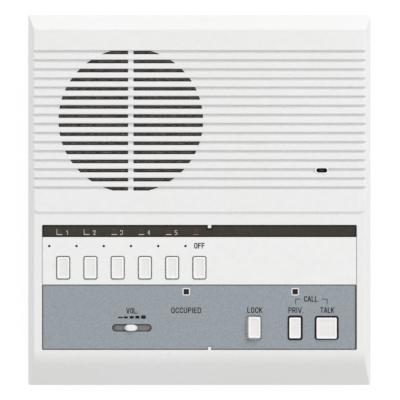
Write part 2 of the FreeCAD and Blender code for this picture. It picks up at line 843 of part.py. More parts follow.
def front_cover():
    shell = common("front_form", side_profile("front_side_form", face_z, as_size(0), s.blend_radius),
                   draft_prism("front_end_form", parting_z, face_z, as_size(0)))
    corner = parting_z.value + s.rim_height.value / 2

    def outer_edge(first, last):
        return max(first.z, last.z) > corner and abs(first.x - last.x) < half_width.value

    soft_shell = rounded("front_soft_form", shell, s.edge_round, outer_edge)
    field = common("field_form", field_profile("field_side_form"),
                   draft_prism("field_end_form", face_z - s.field_root, field_z, as_size(0)))
    low_z = face_z - s.field_root

    def foot_corner(first, last):
        return (abs(first.y - field_low_y.value) < s.panel_gap.value
                and abs(last.y - field_low_y.value) < s.panel_gap.value
                and abs(first.z - last.z) > s.field_root.value)

    def field_edge(first, last):
        above = min(first.z, last.z) > low_z.value + s.panel_gap.value
        rising = abs(first.z - last.z) > s.field_root.value and min(first.y, last.y) > 0
        at_foot = max(first.y, last.y) < field_low_y.value + s.panel_gap.value
        return (above or rising) and not at_foot

    turned_field = rounded("field_turned_form", field, s.field_corner, foot_corner)
    soft_field = rounded("field_soft_form", turned_field, s.edge_round, field_edge)
    outside = fuse("front_outside", soft_shell, soft_field)

    inside = common("front_inside",
                    side_profile("inner_side_form", inner_z, s.wall, s.blend_radius - s.face_wall),
                    draft_prism("inner_end_form", parting_z, inner_z, s.wall))
    rim, mouth = microphone_tools()
    grooved = cut("front_grooved", outside, louvre_grooves(), inside)
    posts = [rod(f"case_post_{number}", s.case_post_radius, x, y, parting_z, inner_z)
             for number, (x, y) in enumerate(case_posts())]
    posts += [rod(f"board_post_{number}", s.board_post_radius, x, y, main_board_top_z, inner_z)
              for number, (x, y) in enumerate(main_board_posts())]
    posts += [rod(f"speaker_post_{number}", s.speaker_post_radius, x, y, flange_low_z, inner_z)
              for number, (x, y) in enumerate(speaker_posts())]
    posts += [rod(f"lamp_post_{number}", s.lamp_board_post_radius, x, y, lamp_board_top_z, inner_z)
              for number, (x, y) in enumerate(lamp_board_posts())]
    posts += [rod(f"pot_pad_{number}", s.pot_pad_radius, x, y, pot_top_z, inner_z)
              for number, (x, y) in enumerate(pot_ear_places())]
    ring = cut("microphone_ring",
               rod("microphone_ring_outside", s.boot_radius + s.fit_gap + s.microphone_ring_wall,
                   microphone_x, microphone_y, inner_z - s.microphone_ring_depth, inner_z),
               rod("microphone_ring_inside", s.boot_radius + s.fit_gap,
                   microphone_x, microphone_y, inner_z - s.overrun, inner_z))
    kept_posts = common("front_posts", fuse("front_posts_raw", *posts), shell)
    built = fuse("front_built", grooved, kept_posts, ring, rim)

    recess = rounded_block("panel_recess", 0, (panel_top_y + panel_low_y) / 2, panel_width, panel_height,
                           s.panel_corner, recess_z, face_z + s.overrun)
    cuts = [recess, mouth, grille_slots()]
    for name, x, y, width, height, opening_width, opening_height, proud in KEYS:
        cuts.append(centred_block(f"{name}_cover_opening", x, y, opening_width + s.opening_margin * 2,
                                  opening_height + s.opening_margin * 2, inner_z - s.overrun / 2, face_z))
    cuts.append(oblong_block("volume_cover_slot", volume_x, function_key_y,
                             s.volume_slot_length + s.fit_gap * 2, s.volume_slot_width + s.fit_gap * 2,
                             inner_z - s.overrun / 2, face_z))
    cuts += lens_openings("station_lens_way", lamp_places(), lamp_y, s.lens_side + s.fit_gap * 2,
                          inner_z - s.overrun / 2, face_z)
    cuts += lens_openings("indicator_lens_way", indicator_places, indicator_y,
                          s.indicator_lens_side + s.fit_gap * 2, inner_z - s.overrun / 2, face_z)
    case_pilot = s.case_screw_radius + s.screw_clearance
    cuts += [rod(f"case_pilot_{number}", case_pilot, x, y, parting_z - s.overrun / 2,
                 parting_z + s.case_screw_bite + s.pilot_spare)
             for number, (x, y) in enumerate(case_posts())]
    for stem, places, low_z in (("board", main_board_posts(), main_board_top_z),
                                ("lamp", lamp_board_posts(), lamp_board_top_z),
                                ("speaker", speaker_posts(), flange_low_z)):
        top_z = inner_z + s.screw_into_face if stem == "speaker" else low_z + s.screw_bite + s.pilot_spare
        cuts += [rod(f"{stem}_pilot_{number}", pilot_radius, x, y, low_z - s.overrun / 2,
                     smaller(top_z, inner_z + s.screw_into_face))
                 for number, (x, y) in enumerate(places)]
    ears = pot_ear_places()
    cuts += [rod(f"pot_pilot_{number}", pilot_radius, x, y, inner_z - s.overrun / 2,
                 inner_z + s.screw_into_face)
             for number, (x, y) in enumerate(ears)]
    opened = cut("front_opened", built, *cuts)
    return fuse("front_cover_solid", opened, *snap_tabs("snap_tab", as_size(0), plate_z + s.fit_gap))


def pot_ear_places():
    """One screw in each ear, on opposite sides of the shutter's way."""
    reach = s.pot_length / 2 + s.pot_ear / 2
    return [(volume_x + reach * side, function_key_y + s.pot_screw_side * side) for side in (-1, 1)]


keep("front_cover", front_cover())


# Panel plates

def plate(name, high_y, low_y, openings):
    left = -panel_width / 2 + s.panel_gap
    blank = block(f"{name}_blank", (left, low_y, recess_z), (-left, high_y, plate_z))
    return keep(name, cut(f"{name}_cut", blank, *openings))


def notch(name):
    """Room for one snap tab."""
    return snap_tabs(name, s.plate_gap, plate_z + s.overrun)


upper_notch, lower_notch = notch("notch")
plate("lamp_window", panel_top_y - s.plate_gap, strip_low_y,
      lens_openings("window_opening", lamp_places(), lamp_y, s.lens_side + s.lens_clearance * 2,
                    recess_z - s.overrun, plate_z + s.overrun) + [upper_notch])
plate("name_plate", strip_low_y, name_low_y + s.plate_gap,
      [rounded_block(f"{name}_opening", x, y, opening_width, opening_height, s.opening_corner,
                     recess_z - s.overrun, plate_z + s.overrun)
       for name, x, y, width, height, opening_width, opening_height, proud in KEYS[:STATION_COUNT + 1]])
plate("control_plate", name_low_y - s.plate_gap, panel_low_y + s.panel_gap,
      [rounded_block(f"{name}_opening", x, y, opening_width, opening_height, s.opening_corner,
                     recess_z - s.overrun, plate_z + s.overrun)
       for name, x, y, width, height, opening_width, opening_height, proud in KEYS[STATION_COUNT + 1:]]
      + [oblong_block("volume_slot", volume_x, function_key_y, s.volume_slot_length, s.volume_slot_width,
                      recess_z - s.overrun, plate_z + s.overrun), lower_notch]
      + lens_openings("indicator_opening", indicator_places, indicator_y,
                      s.indicator_lens_side + s.lens_clearance * 2, recess_z - s.overrun,
                      plate_z + s.overrun))


# Keys, plungers and springs

def key(name, x, y, width, height, opening_width, opening_height, proud):
    """A cap with a dished top, a flange that keeps it under the cover, and a stem with a socket."""
    top_z = plate_z + proud
    flange_high_z = inner_z - s.key_flange_drop
    flange_low = flange_high_z - s.key_flange_thickness
    cap = rounded_block(f"{name}_cap", x, y, width, height, s.cap_corner, flange_high_z, top_z)
    level = top_z.value - s.fit_gap.value
    soft = rounded(f"{name}_soft_cap", cap, s.cap_edge_round,
                   lambda first, last: min(first.z, last.z) > level)
    rim = s.cap_dish_rim * 2
    dish = rounded_block(f"{name}_dish", x, y, width - rim, height - rim, s.cap_corner,
                         top_z - s.cap_dish_depth, top_z + s.overrun)
    extra = (s.opening_margin + s.key_flange_margin) * 2
    flange = centred_block(f"{name}_flange", x, y, opening_width + extra, opening_height + extra,
                           flange_low, flange_high_z)
    stem = centred_block(f"{name}_stem", x, y, s.key_stem_side, s.key_stem_side, stem_foot_z, flange_low)
    socket = rod(f"{name}_socket", s.plunger_radius + s.socket_clearance, x, y, stem_foot_z,
                 stem_foot_z + s.plunger_socket)
    whole = fuse(f"{name}_whole", soft, flange, stem)
    return keep(name, cut(f"{name}_solid", whole, dish, socket))


def plunger(name, x, y):
    """A round plunger with a collar that stops it under the switch top."""
    shaft = rod(f"{name}_shaft", s.plunger_radius, x, y, switch_top_z - s.plunger_depth,
                stem_foot_z + s.plunger_socket)
    collar_high_z = switch_top_z - s.frame_sheet - s.collar_gap
    collar = rod(f"{name}_collar", s.collar_radius, x, y, collar_high_z - s.collar_thickness, collar_high_z)
    return keep(name, fuse(f"{name}_solid", shaft, collar))


def key_spring(name, x, y):
    """An open coil between the switch top and the foot of the stem."""
    low_z = switch_top_z + s.spring_wire_radius + s.spring_seat_gap
    high_z = stem_foot_z - s.spring_wire_radius - s.spring_seat_gap
    path = doc.addObject("Part::Helix", f"{name}_path")
    path.setExpression("Pitch", s.spring_turns_pitch.text)
    path.setExpression("Height", (high_z - low_z).text)
    path.setExpression("Radius", s.spring_radius.text)
    wire = doc.addObject("Part::Circle", f"{name}_section")
    wire.setExpression("Radius", s.spring_wire_radius.text)
    wire.Placement = Placement(Vector(), Rotation(Vector(1, 0, 0), QUARTER_TURN))
    wire.setExpression("Placement.Base.x", s.spring_radius.text)
    coil = doc.addObject("Part::Sweep", name)
    coil.Sections = [wire]
    coil.Spine = path
    coil.Solid = True
    coil.Frenet = True
    return put(coil, x, y, low_z)


for row in KEYS:
    key(*row)
for row in KEYS:
    plunger(row[0].replace("_key", "_plunger"), row[1], row[2])
keep("key_springs", group("key_springs_group", [
    key_spring(f"{row[0]}_spring", row[1], row[2]) for row in KEYS]))


# Volume slide

def volume_slide():
    """The control under the cover, its slider with a shutter that hides the slot, and the knob."""
    rest_x = volume_x + s.knob_offset
    body = centred_block("pot_case", volume_x, function_key_y, s.pot_length, s.pot_width,
                         inner_z - s.pot_depth, pot_top_z)
    ears = centred_block("pot_ears", volume_x, function_key_y, s.pot_length + s.pot_ear * 2, s.pot_ear_width,
                         pot_top_z - s.pot_ear_thickness, pot_top_z)
    cavity = centred_block("pot_cavity", volume_x, function_key_y, s.pot_length - s.pot_wall * 2,
                           s.pot_width - s.pot_wall * 2, inner_z - s.pot_depth + s.pot_wall,
                           pot_top_z - s.pot_wall)
    travel = (s.slider_travel + s.slider_clearance) * 2
    slit = centred_block("pot_slit", volume_x, function_key_y, travel + s.slider_blade_length,
                         s.slider_blade_width + s.slider_clearance * 2, inner_z - s.pot_depth / 2,
                         inner_z + s.overrun)
    holes = [rod(f"pot_ear_hole_{number}", s.screw_radius + s.fit_gap, x, y, inner_z - s.overrun,
                 inner_z + s.overrun) for number, (x, y) in enumerate(pot_ear_places())]
    keep("volume_pot", cut("volume_pot_solid", fuse("pot_blank", body, ears), cavity, slit, *holes))

    foot_low_z = inner_z - s.pot_depth + s.pot_wall + s.slider_clearance
    foot = centred_block("slider_foot", rest_x, function_key_y, s.slider_foot_length,
                         s.pot_width - s.pot_wall * 2 - s.slider_clearance * 2,
                         foot_low_z, foot_low_z + s.slider_foot_height)
    knob_low_z = inner_z + s.knob_floor_gap
    socket_z = knob_low_z + s.knob_socket_depth
    blade = centred_block("slider_blade", rest_x, function_key_y, s.slider_blade_length, s.slider_blade_width,
                          foot_low_z, socket_z)
    shutter_z = pot_top_z + s.shutter_gap
    shutter = centred_block("slider_shutter", rest_x, function_key_y, s.shutter_length, s.shutter_width,
                            shutter_z, shutter_z + s.shutter_thickness)
    keep("volume_slider", fuse("volume_slider_solid", foot, blade, shutter))

    knob = rounded_block("knob_block", rest_x, function_key_y, s.knob_length, s.knob_width, s.knob_corner,
                         knob_low_z, plate_z + s.knob_proud)
    level = plate_z.value + s.knob_proud.value - s.fit_gap.value
    soft = rounded("knob_soft", knob, s.knob_round, lambda first, last: min(first.z, last.z) > level)
    pocket = centred_block("knob_pocket", rest_x, function_key_y,
                           s.slider_blade_length + s.socket_clearance * 2,
                           s.slider_blade_width + s.socket_clearance * 2, knob_low_z, socket_z)
    keep("volume_knob", cut("volume_knob_solid", soft, pocket))


volume_slide()


# Lenses and lamps

def bulb(name, x, y, low_z, high_z):
    """A wedge lamp: a square base and a round-nosed glass."""
    base = centred_block(f"{name}_base", x, y, s.bulb_radius * 2, s.bulb_radius * 2, low_z,
                         low_z + s.bulb_base_height)
    glass = rod(f"{name}_glass", s.bulb_radius, x, y, low_z + s.bulb_base_height, high_z - s.bulb_radius)
    nose = doc.addObject("Part::Sphere", f"{name}_nose")
    nose.setExpression("Radius", s.bulb_radius.text)
    put(nose, x, y, high_z - s.bulb_radius)
    return fuse(name, base, glass, nose)


lens_low_z = plate_z + s.lens_proud - s.lens_depth
keep("station_lenses", group("station_lens_group", lens_openings(
    "station_lens", lamp_places(), lamp_y, s.lens_side, lens_low_z, plate_z + s.lens_proud)))
keep("indicator_lenses", group("indicator_lens_group", lens_openings(
    "indicator_lens", indicator_places, indicator_y, s.indicator_lens_side, lens_low_z,
    plate_z + s.lens_proud)))


def lamp_board():
    lamps = lamp_places()
    low_z = lamp_board_top_z - s.small_board_thickness
    blank = block("lamp_board_blank",
                  (lamps[0] - s.lamp_board_margin, lamp_y - s.lamp_board_width / 2, low_z),
                  (lamps[-1] + s.lamp_board_margin, lamp_y + s.lamp_board_width / 2, lamp_board_top_z))
    holes = [rod(f"lamp_board_hole_{number}", s.screw_radius + s.fit_gap, x, y, low_z, lamp_board_top_z)
             for number, (x, y) in enumerate(lamp_board_posts())]
    return keep("lamp_board", cut("lamp_board_solid", blank, *holes))


lamp_board()


def indicator_sleeves():
    """Sleeves that hang from the cover round each square lens, with room for a lamp inside."""
    sleeves = []
    for number, x in enumerate(indicator_places):
        low_z = inner_z - s.sleeve_depth
        outside = rod(f"sleeve_outside_{number}", s.sleeve_radius, x, indicator_y, low_z, inner_z)
        top_room = centred_block(f"sleeve_room_{number}", x, indicator_y,
                                 s.indicator_lens_side + s.fit_gap * 2, s.indicator_lens_side + s.fit_gap * 2,
                                 lens_low_z - s.fit_gap, inner_z)
        side = s.bulb_radius * 2 + s.socket_clearance * 2
        bore = centred_block(f"sleeve_bore_{number}", x, indicator_y, side, side, low_z, inner_z)
        sleeves.append(cut(f"sleeve_{number}", outside, top_room, bore))
    keep("lamp_sleeves", group("sleeve_group", sleeves))


def signal_lamps():
    """Six lamps on the lamp board and one in each sleeve, each just under its lens."""
    high_z = lens_low_z - s.bulb_radius / 2
    places = [(x, lamp_y, lamp_board_top_z) for x in lamp_places()]
    places += [(x, indicator_y, inner_z - s.sleeve_depth) for x in indicator_places]
    return [bulb(f"signal_lamp_{number}", x, y, low_z, high_z)
            for number, (x, y, low_z) in enumerate(places)]


indicator_sleeves()
keep("signal_lamps", group("signal_lamp_group", signal_lamps()))


# Speaker

def speaker():
    x, y = speaker_x, speaker_y
    keep("speaker_cloth", rod("cloth_disc", s.cloth_radius, x, y, cloth_low_z, inner_z))
    base_z = flange_low_z - s.basket_depth
    sheet_gap = s.basket_sheet
    throat = s.flange_inner_radius + sheet_gap
    profile = [
        (s.flange_radius, flange_low_z), (s.flange_radius, flange_top_z),
        (s.flange_inner_radius, flange_top_z), (s.flange_inner_radius, flange_low_z),
        (s.basket_base_radius - sheet_gap, base_z + sheet_gap),
        (s.basket_hole_radius, base_z + sheet_gap), (s.basket_hole_radius, base_z),
        (s.basket_base_radius, base_z), (throat, flange_low_z - sheet_gap), (throat, flange_low_z),
    ]
    dish = turned("basket_dish", x, y, profile)
    windows = []
    middle_z = (base_z + flange_low_z) / 2
    for number in range(BASKET_WINDOW_COUNT):
        window = doc.addObject("Part::Cylinder", f"basket_window_{number}")
        window.setExpression("Radius", s.basket_window_radius.text)
        window.setExpression("Height", s.flange_radius.text)
        spin = FULL_TURN / BASKET_WINDOW_COUNT * (number + HALF)
        window.Placement = Placement(Vector(), Rotation(spin, QUARTER_TURN, 0))
        windows.append(put(window, x, y, middle_z))
    keep("speaker_basket", cut("speaker_basket_solid", dish, *windows))

    magnet_top_z = base_z - s.yoke_thickness
    magnet_low_z = magnet_top_z - s.magnet_thickness
    top_plate = cut("yoke_top", rod("yoke_top_disc", s.yoke_radius, x, y, magnet_top_z, base_z),
                    rod("yoke_gap", s.basket_hole_radius, x, y, magnet_top_z, base_z))
    ring = cut("magnet_ring", rod("magnet_disc", s.magnet_radius, x, y, magnet_low_z, magnet_top_z),
               rod("magnet_hole", s.basket_hole_radius, x, y, magnet_low_z, magnet_top_z))
    back = rod("yoke_back", s.yoke_radius, x, y, magnet_low_z - s.yoke_thickness, magnet_low_z)
    pole = rod("yoke_pole", s.pole_radius, x, y, magnet_low_z, base_z)
    keep("speaker_magnet", fuse("speaker_magnet_solid", top_plate, ring, back, pole))

    rim_low_z = flange_top_z
    roll = s.surround_width / 2
    inner = s.flange_inner_radius
    cone_top_radius = inner - s.surround_width
    throat_z = rim_low_z - s.cone_depth
    skin = s.cone_thickness
    section = [
        (s.flange_radius - s.fit_gap, rim_low_z), (s.flange_radius - s.fit_gap, cloth_low_z),
        (inner, cloth_low_z), (cone_top_radius, cloth_low_z),
        (s.cone_throat_radius, throat_z + skin),
        (s.cone_throat_radius - skin, throat_z + skin),
        (s.cone_throat_radius - skin, throat_z - s.former_height),
        (s.cone_throat_radius, throat_z - s.former_height),
        (s.cone_throat_radius, throat_z),
        (cone_top_radius, rim_low_z), (inner, rim_low_z),
    ]
    arcs = {
        2: (inner - roll, cloth_low_z, roll, -1),
        9: (inner - roll, rim_low_z, roll, 1),
    }
    keep("speaker_cone", turned("cone_skin", x, y, section, arcs))

    cap_low_z = throat_z + skin
    span = s.cone_throat_radius - skin
    keep("speaker_dust_cap", turned("dust_cap_dome", x, y, [
        (as_size(0), cap_low_z), (span, cap_low_z), (span, cap_low_z + skin),
        (span * DOME_KNEE_SHARE, cap_low_z + s.dust_cap_height * DOME_RISE_SHARE),
        (as_size(0), cap_low_z + s.dust_cap_height)]))

    tag_high_z = magnet_low_z - s.yoke_thickness
    tag_low_z = tag_high_z - s.tag_thickness
    card = centred_block("tag_card", x, y, s.tag_length, s.tag_width, tag_low_z, tag_high_z)
    blades = [centred_block(f"tag_blade_{side}", x + s.tag_length / 4 * side, y, s.tag_blade,
                            s.tag_width / 2, tag_low_z - s.tag_blade_drop, tag_low_z)
              for side in (-1, 1)]
    keep("speaker_terminal", fuse("speaker_terminal_solid", card, *blades))
    return tag_low_z - s.tag_blade_drop


speaker_tag_z = speaker()


def small_screw(name, x, y, seat_z, way, bite):
    """A pan-head screw with a cross recess; way is +1 for a shank that points up, -1 for down."""
    head_far = seat_z - s.screw_head_height * way
    shank_far = seat_z + bite * way
    low_head, high_head = (head_far, seat_z) if way > 0 else (seat_z, head_far)
    low_shank, high_shank = (seat_z, shank_far) if way > 0 else (shank_far, seat_z)
    head = rod(f"{name}_head", s.screw_head_radius, x, y, low_head, high_head)
    shank = rod(f"{name}_shank", s.screw_radius, x, y, low_shank, high_shank)
    recess_low = head_far if way > 0 else head_far - s.screw_recess
    arm = s.screw_head_radius * ARM_LENGTH_SHARE * 2
    thin = s.screw_head_radius * ARM_WIDTH_SHARE * 2
    recess_high = recess_low + s.screw_recess
    cross = [centred_block(f"{name}_recess_{number}", x, y, *sides, recess_low, recess_high)
             for number, sides in enumerate(((arm, thin), (thin, arm)))]
    return cut(name, fuse(f"{name}_blank", head, shank), *cross)


def clamps():
    """Four steel tabs that press the speaker flange towards the face."""
    tabs = []
    screws = []
    low_z = flange_low_z - s.clamp_thickness
    for number, (x, y) in enumerate(speaker_posts()):
        side = 1 if x.value > speaker_x.value else -1
        end = 1 if y.value > speaker_y.value else -1
        tab = doc.addObject("Part::Box", f"clamp_blank_{number}")
        tab.setExpression("Length", s.clamp_reach.text)
        tab.setExpression("Width", s.clamp_width.text)
        tab.setExpression("Height", s.clamp_thickness.text)
        turn = math.degrees(math.atan2(-end, -side))
        tab.Placement = Placement(Vector(), Rotation(turn, 0, 0))
        back = s.clamp_width / 2 - s.fit_gap
        diagonal = root(as_size(2))
        along_x, along_y = as_size(-side) / diagonal, as_size(-end) / diagonal
        put(tab, x - along_x * back + along_y * s.clamp_width / 2,
            y - along_y * back - along_x * s.clamp_width / 2, low_z)
        hole = rod(f"clamp_hole_{number}", s.screw_radius + s.fit_gap, x, y, low_z, flange_low_z)
        tabs.append(cut(f"clamp_{number}", tab, hole))
        screws.append(small_screw(f"clamp_screw_{number}", x, y, low_z, 1,
                                  inner_z - flange_low_z + s.clamp_thickness))
    keep("speaker_clamps", group("clamp_group", tabs))
    keep("speaker_screws", group("clamp_screw_group", screws))


clamps()


# Microphone

def microphone():
    x, y = microphone_x, microphone_y
    low_z = inner_z - s.boot_depth
    boot = cut("boot_cut", rod("boot_outside", s.boot_radius, x, y, low_z, inner_z),
               rod("boot_inside", s.capsule_radius + s.lens_clearance, x, y, low_z + s.boot_floor, inner_z),
               rod("boot_lead_hole", s.lead_radius + s.fit_gap, x, y, low_z, low_z + s.boot_floor))
    keep("microphone_boot", boot)
    keep("microphone_capsule", rod("capsule_can", s.capsule_radius, x, y, low_z + s.boot_floor,
                                   inner_z - s.lens_clearance))
    return low_z


microphone_low_z = microphone()


# Main board and switches

def main_board():
    blank = block("main_board_blank", (-main_board_half_width, main_board_low_y, main_board_z),
                  (main_board_half_width, main_board_high_y, main_board_top_z))
    holes = [rod(f"main_board_hole_{number}", s.screw_radius + s.fit_gap, x, y, main_board_z,
                 main_board_top_z)
             for number, (x, y) in enumerate(main_board_posts())]
    return keep("main_board", cut("main_board_solid", blank, *holes))


main_board()


def station_switches():
    top_z = main_board_top_z + s.switch_body_height
    bodies = []
    for number, x in key_places:
        case = centred_block(f"switch_case_{number}", x, station_key_y, s.switch_body_width,
                             s.switch_body_depth, main_board_top_z, top_z)
        bore = rod(f"switch_bore_{number}", s.collar_radius + s.collar_clearance, x, station_key_y,
                   main_board_top_z + s.switch_floor, top_z)
        bodies.append(cut(f"switch_{number}", case, bore))
    return keep("station_switches", group("switch_group", bodies))


station_switches()


def function_switches():
    bodies = []
    for name, x, y, *rest in KEYS[STATION_COUNT + 1:]:
        case = centred_block(f"{name}_switch_case", x, y, s.function_switch_side, s.function_switch_side,
                             main_board_top_z, switch_top_z)
        bore = rod(f"{name}_switch_bore", s.collar_radius + s.collar_clearance, x, y,
                   main_board_top_z + s.switch_floor, switch_top_z - s.frame_sheet)
        guide = rod(f"{name}_switch_guide", s.plunger_radius + s.plunger_clearance, x, y,
                    main_board_top_z + s.switch_floor, switch_top_z)
        bodies.append(cut(f"{name}_switch", case, bore, guide))
    return keep("function_switches", group("function_switch_group", bodies))


function_switches()


def switch_frame():
    """A folded steel channel over the six station switches, with a guide hole for each plunger."""
    left, right = first_key_x - s.frame_end_margin, last_key_x + s.frame_end_margin
    y = station_key_y
    outer = s.frame_half_depth
    sheet_metal = s.frame_sheet
    top = block("frame_top", (left, y - outer, switch_top_z - sheet_metal),
                (right, y + outer, switch_top_z))
    sides = [
        block("frame_side_low", (left, y - outer, main_board_top_z),
              (right, y - outer + sheet_metal, switch_top_z)),
        block("frame_side_high", (left, y + outer - sheet_metal, main_board_top_z),
              (right, y + outer, switch_top_z)),
        block("frame_foot_low", (left, y - outer - s.frame_foot, main_board_top_z),
              (right, y - outer + sheet_metal, main_board_top_z + sheet_metal)),
        block("frame_foot_high", (left, y + outer - sheet_metal, main_board_top_z),
              (right, y + outer + s.frame_foot, main_board_top_z + sheet_metal)),
    ]
    guides = [rod(f"frame_guide_{number}", s.plunger_radius + s.plunger_clearance, x, y,
                  switch_top_z - sheet_metal - s.overrun / 4, switch_top_z + s.overrun / 4)
              for number, x in key_places]
    return keep("switch_frame", cut("switch_frame_solid", fuse("frame_folded", top, *sides), *guides))


switch_frame()


def latch_bar():
    """The sliding bar that catches a pressed station key and lets the others go."""
    low_z = main_board_top_z + s.switch_body_height + s.latch_bar_gap
    high_z = low_z + s.latch_bar_thickness
    y = station_key_y
    blank = block("latch_blank", (first_key_x - s.latch_bar_end_margin, y - s.latch_bar_half_width, low_z),
                  (last_key_x + s.latch_bar_end_margin, y + s.latch_bar_half_width, high_z))
    width = (s.collar_radius + s.collar_clearance) * 2
    slots = [oblong_block(f"latch_slot_{number}", x, y, width + s.latch_travel * 2, width, low_z - s.overrun,
                          high_z + s.overrun) for number, x in key_places]
    return keep("latch_bar", cut("latch_bar_solid", blank, *slots))


latch_bar()


# Rear cover, feet and case screws

def rear_cover():
    width, length = s.case_width - s.rear_inset * 2, case_length - s.rear_inset * 2
    outside = rounded_block("rear_outside", 0, 0, width, length, s.rear_corner, s.foot_height, parting_z)
    inside = rounded_block("rear_inside", 0, 0, width - s.wall * 2, length - s.wall * 2,
                           s.rear_corner - s.wall / 2, floor_z, parting_z + s.overrun)
    lip_width = s.case_width - (s.wall + s.fit_gap) * 2
    lip_length = case_length - (s.wall + s.fit_gap) * 2
    lip_out = rounded_block("lip_outside", 0, 0, lip_width, lip_length, s.rear_corner,
                            parting_z - s.lip_height, parting_z + s.lip_height)
    tray = cut("rear_tray", fuse("rear_blank", outside, lip_out), inside)
    pillars = [rod(f"rear_pillar_{number}", s.rear_pillar_radius, x, y, s.foot_height, parting_z)
               for number, (x, y) in enumerate(case_posts())]
    pillars += [rod(f"amplifier_post_{number}", s.amplifier_post_radius, x, y, s.foot_height,
                    floor_z + s.amplifier_rise) for number, (x, y) in enumerate(amplifier_posts())]
    cuts = [rod(f"rear_screw_way_{number}", s.case_screw_radius + s.case_screw_clearance, x, y,
                s.foot_height - s.overrun, parting_z + s.overrun)
            for number, (x, y) in enumerate(case_posts())]
    cuts += [rod(f"rear_counterbore_{number}", s.counterbore_radius, x, y, s.foot_height - s.overrun,
                 s.foot_height + s.counterbore_depth) for number, (x, y) in enumerate(case_posts())]
    cuts += [rod(f"foot_seat_{number}", s.foot_radius + s.fit_gap, x, y, s.foot_height - s.overrun,
                 s.foot_height + s.foot_recess) for number, (x, y) in enumerate(foot_places())]
    cuts += [rod(f"wall_hole_{number}", s.wall_hole_radius, 0, s.wall_hole_spacing / 2 * side,
                 s.foot_height - s.overrun, floor_z + s.overrun) for number, side in enumerate((-1, 1))]
    cuts.append(rounded_block("cable_entry", cable_entry_x, cable_entry_y, s.cable_entry_length,
                              s.cable_entry_width, s.cable_entry_corner, s.foot_height - s.overrun,
                              floor_z + s.overrun))
    cuts += [rod(f"amplifier_pilot_{number}", pilot_radius, x, y, floor_z,
                 floor_z + s.amplifier_rise + s.overrun) for number, (x, y) in enumerate(amplifier_posts())]
    for side in (-1, 1):
        for number in range(VENT_COUNT):
            x = foot_x * (VENT_FIRST_SHARE + VENT_PITCH_SHARE * number) * side
            cuts.append(centred_block(f"vent_{number}_{side + 1}", x, vent_y, s.vent_width, s.vent_length,
                                      s.foot_height - s.overrun, floor_z + s.overrun))
    return keep("rear_cover", cut("rear_cover_solid", fuse("rear_built", tray, *pillars), *cuts))


def foot_places():
    return [(foot_x * side, foot_y * end) for side in (-1, 1) for end in (-1, 1)]


def amplifier_posts():
    inset = s.amplifier_post_inset
    return [(x, y) for x in (amplifier_low_x + inset, amplifier_high_x - inset)
            for y in (amplifier_low_y + inset, amplifier_high_y - inset)]


rear_cover()
level_low = s.foot_round.value / 2
keep("rubber_feet", group("foot_group", [
    rounded(f"foot_{number}",
            rod(f"foot_blank_{number}", s.foot_radius, x, y, 0, s.foot_height + s.foot_recess),
            s.foot_round, lambda first, last: max(first.z, last.z) < level_low)
    for number, (x, y) in enumerate(foot_places())]))


def case_screw(number, x, y):
    seat_z = s.foot_height + s.counterbore_depth
    head = rod(f"case_screw_head_{number}", s.case_screw_head_radius, x, y,
               seat_z - s.case_screw_head_height, seat_z)
    shank = rod(f"case_screw_shank_{number}", s.case_screw_radius, x, y, seat_z,
                parting_z + s.case_screw_bite)
    low_z = seat_z - s.case_screw_head_height
    arm = s.case_screw_head_radius * ARM_LENGTH_SHARE * 2
    thin = s.case_screw_head_radius * ARM_WIDTH_SHARE * 2
    cross = [centred_block(f"case_screw_recess_{number}_{turn}", x, y, *sides, low_z,
                           low_z + s.case_screw_head_height / 2)
             for turn, sides in enumerate(((arm, thin), (thin, arm)))]
    return cut(f"case_screw_{number}", fuse(f"case_screw_blank_{number}", head, shank), *cross)


keep("case_screws", group("case_screw_group",
                          [case_screw(number, x, y) for number, (x, y) in enumerate(case_posts())]))


# Amplifier board

amplifier_z = floor_z + s.amplifier_rise
amplifier_top_z = amplifier_z + s.board_thickness


def amplifier_board():
    blank = block("amplifier_blank", (amplifier_low_x, amplifier_low_y, amplifier_z),
                  (amplifier_high_x, amplifier_high_y, amplifier_top_z))
    holes = [rod(f"amplifier_hole_{number}", s.screw_radius + s.fit_gap, x, y, amplifier_z, amplifier_top_z)
             for number, (x, y) in enumerate(amplifier_posts())]
    keep("amplifier_board", cut("amplifier_board_solid", blank, *holes))


amplifier_board()


def transformer():
    """A laminated core with two windows, and the coil wound round its middle leg."""
    x, y = amplifier_low_x + s.transformer_from_left, amplifier_low_y + s.transformer_from_low
    high_z = amplifier_top_z + s.core_height
    body = centred_block("core_blank", x, y, s.core_length, s.core_stack, amplifier_top_z, high_z)
    window_low_z, window_high_z = amplifier_top_z + s.core_yoke, high_z - s.core_yoke
    reach = s.core_length / 2 - s.core_yoke
    windows = []
    for side in (-1, 1):
        middle = x + (reach + s.core_leg_half) / 2 * side
        windows.append(centred_block(f"core_window_{side + 1}", middle, y, reach - s.core_leg_half,
                                     s.core_stack + s.overrun, window_low_z, window_high_z))
    keep("transformer_core", cut("transformer_core_solid", body, *windows))
    coil = centred_block("coil_blank", x, y, (reach - s.coil_gap) * 2, s.coil_stack,
                         window_low_z + s.coil_gap, window_high_z - s.coil_gap)
    leg = centred_block("coil_leg", x, y, (s.core_leg_half + s.coil_gap / 2) * 2, s.core_stack + s.coil_gap,
                        window_low_z - s.overrun / 2, window_high_z + s.overrun / 2)
    keep("transformer_coil", cut("transformer_coil_solid", coil, leg))


transformer()


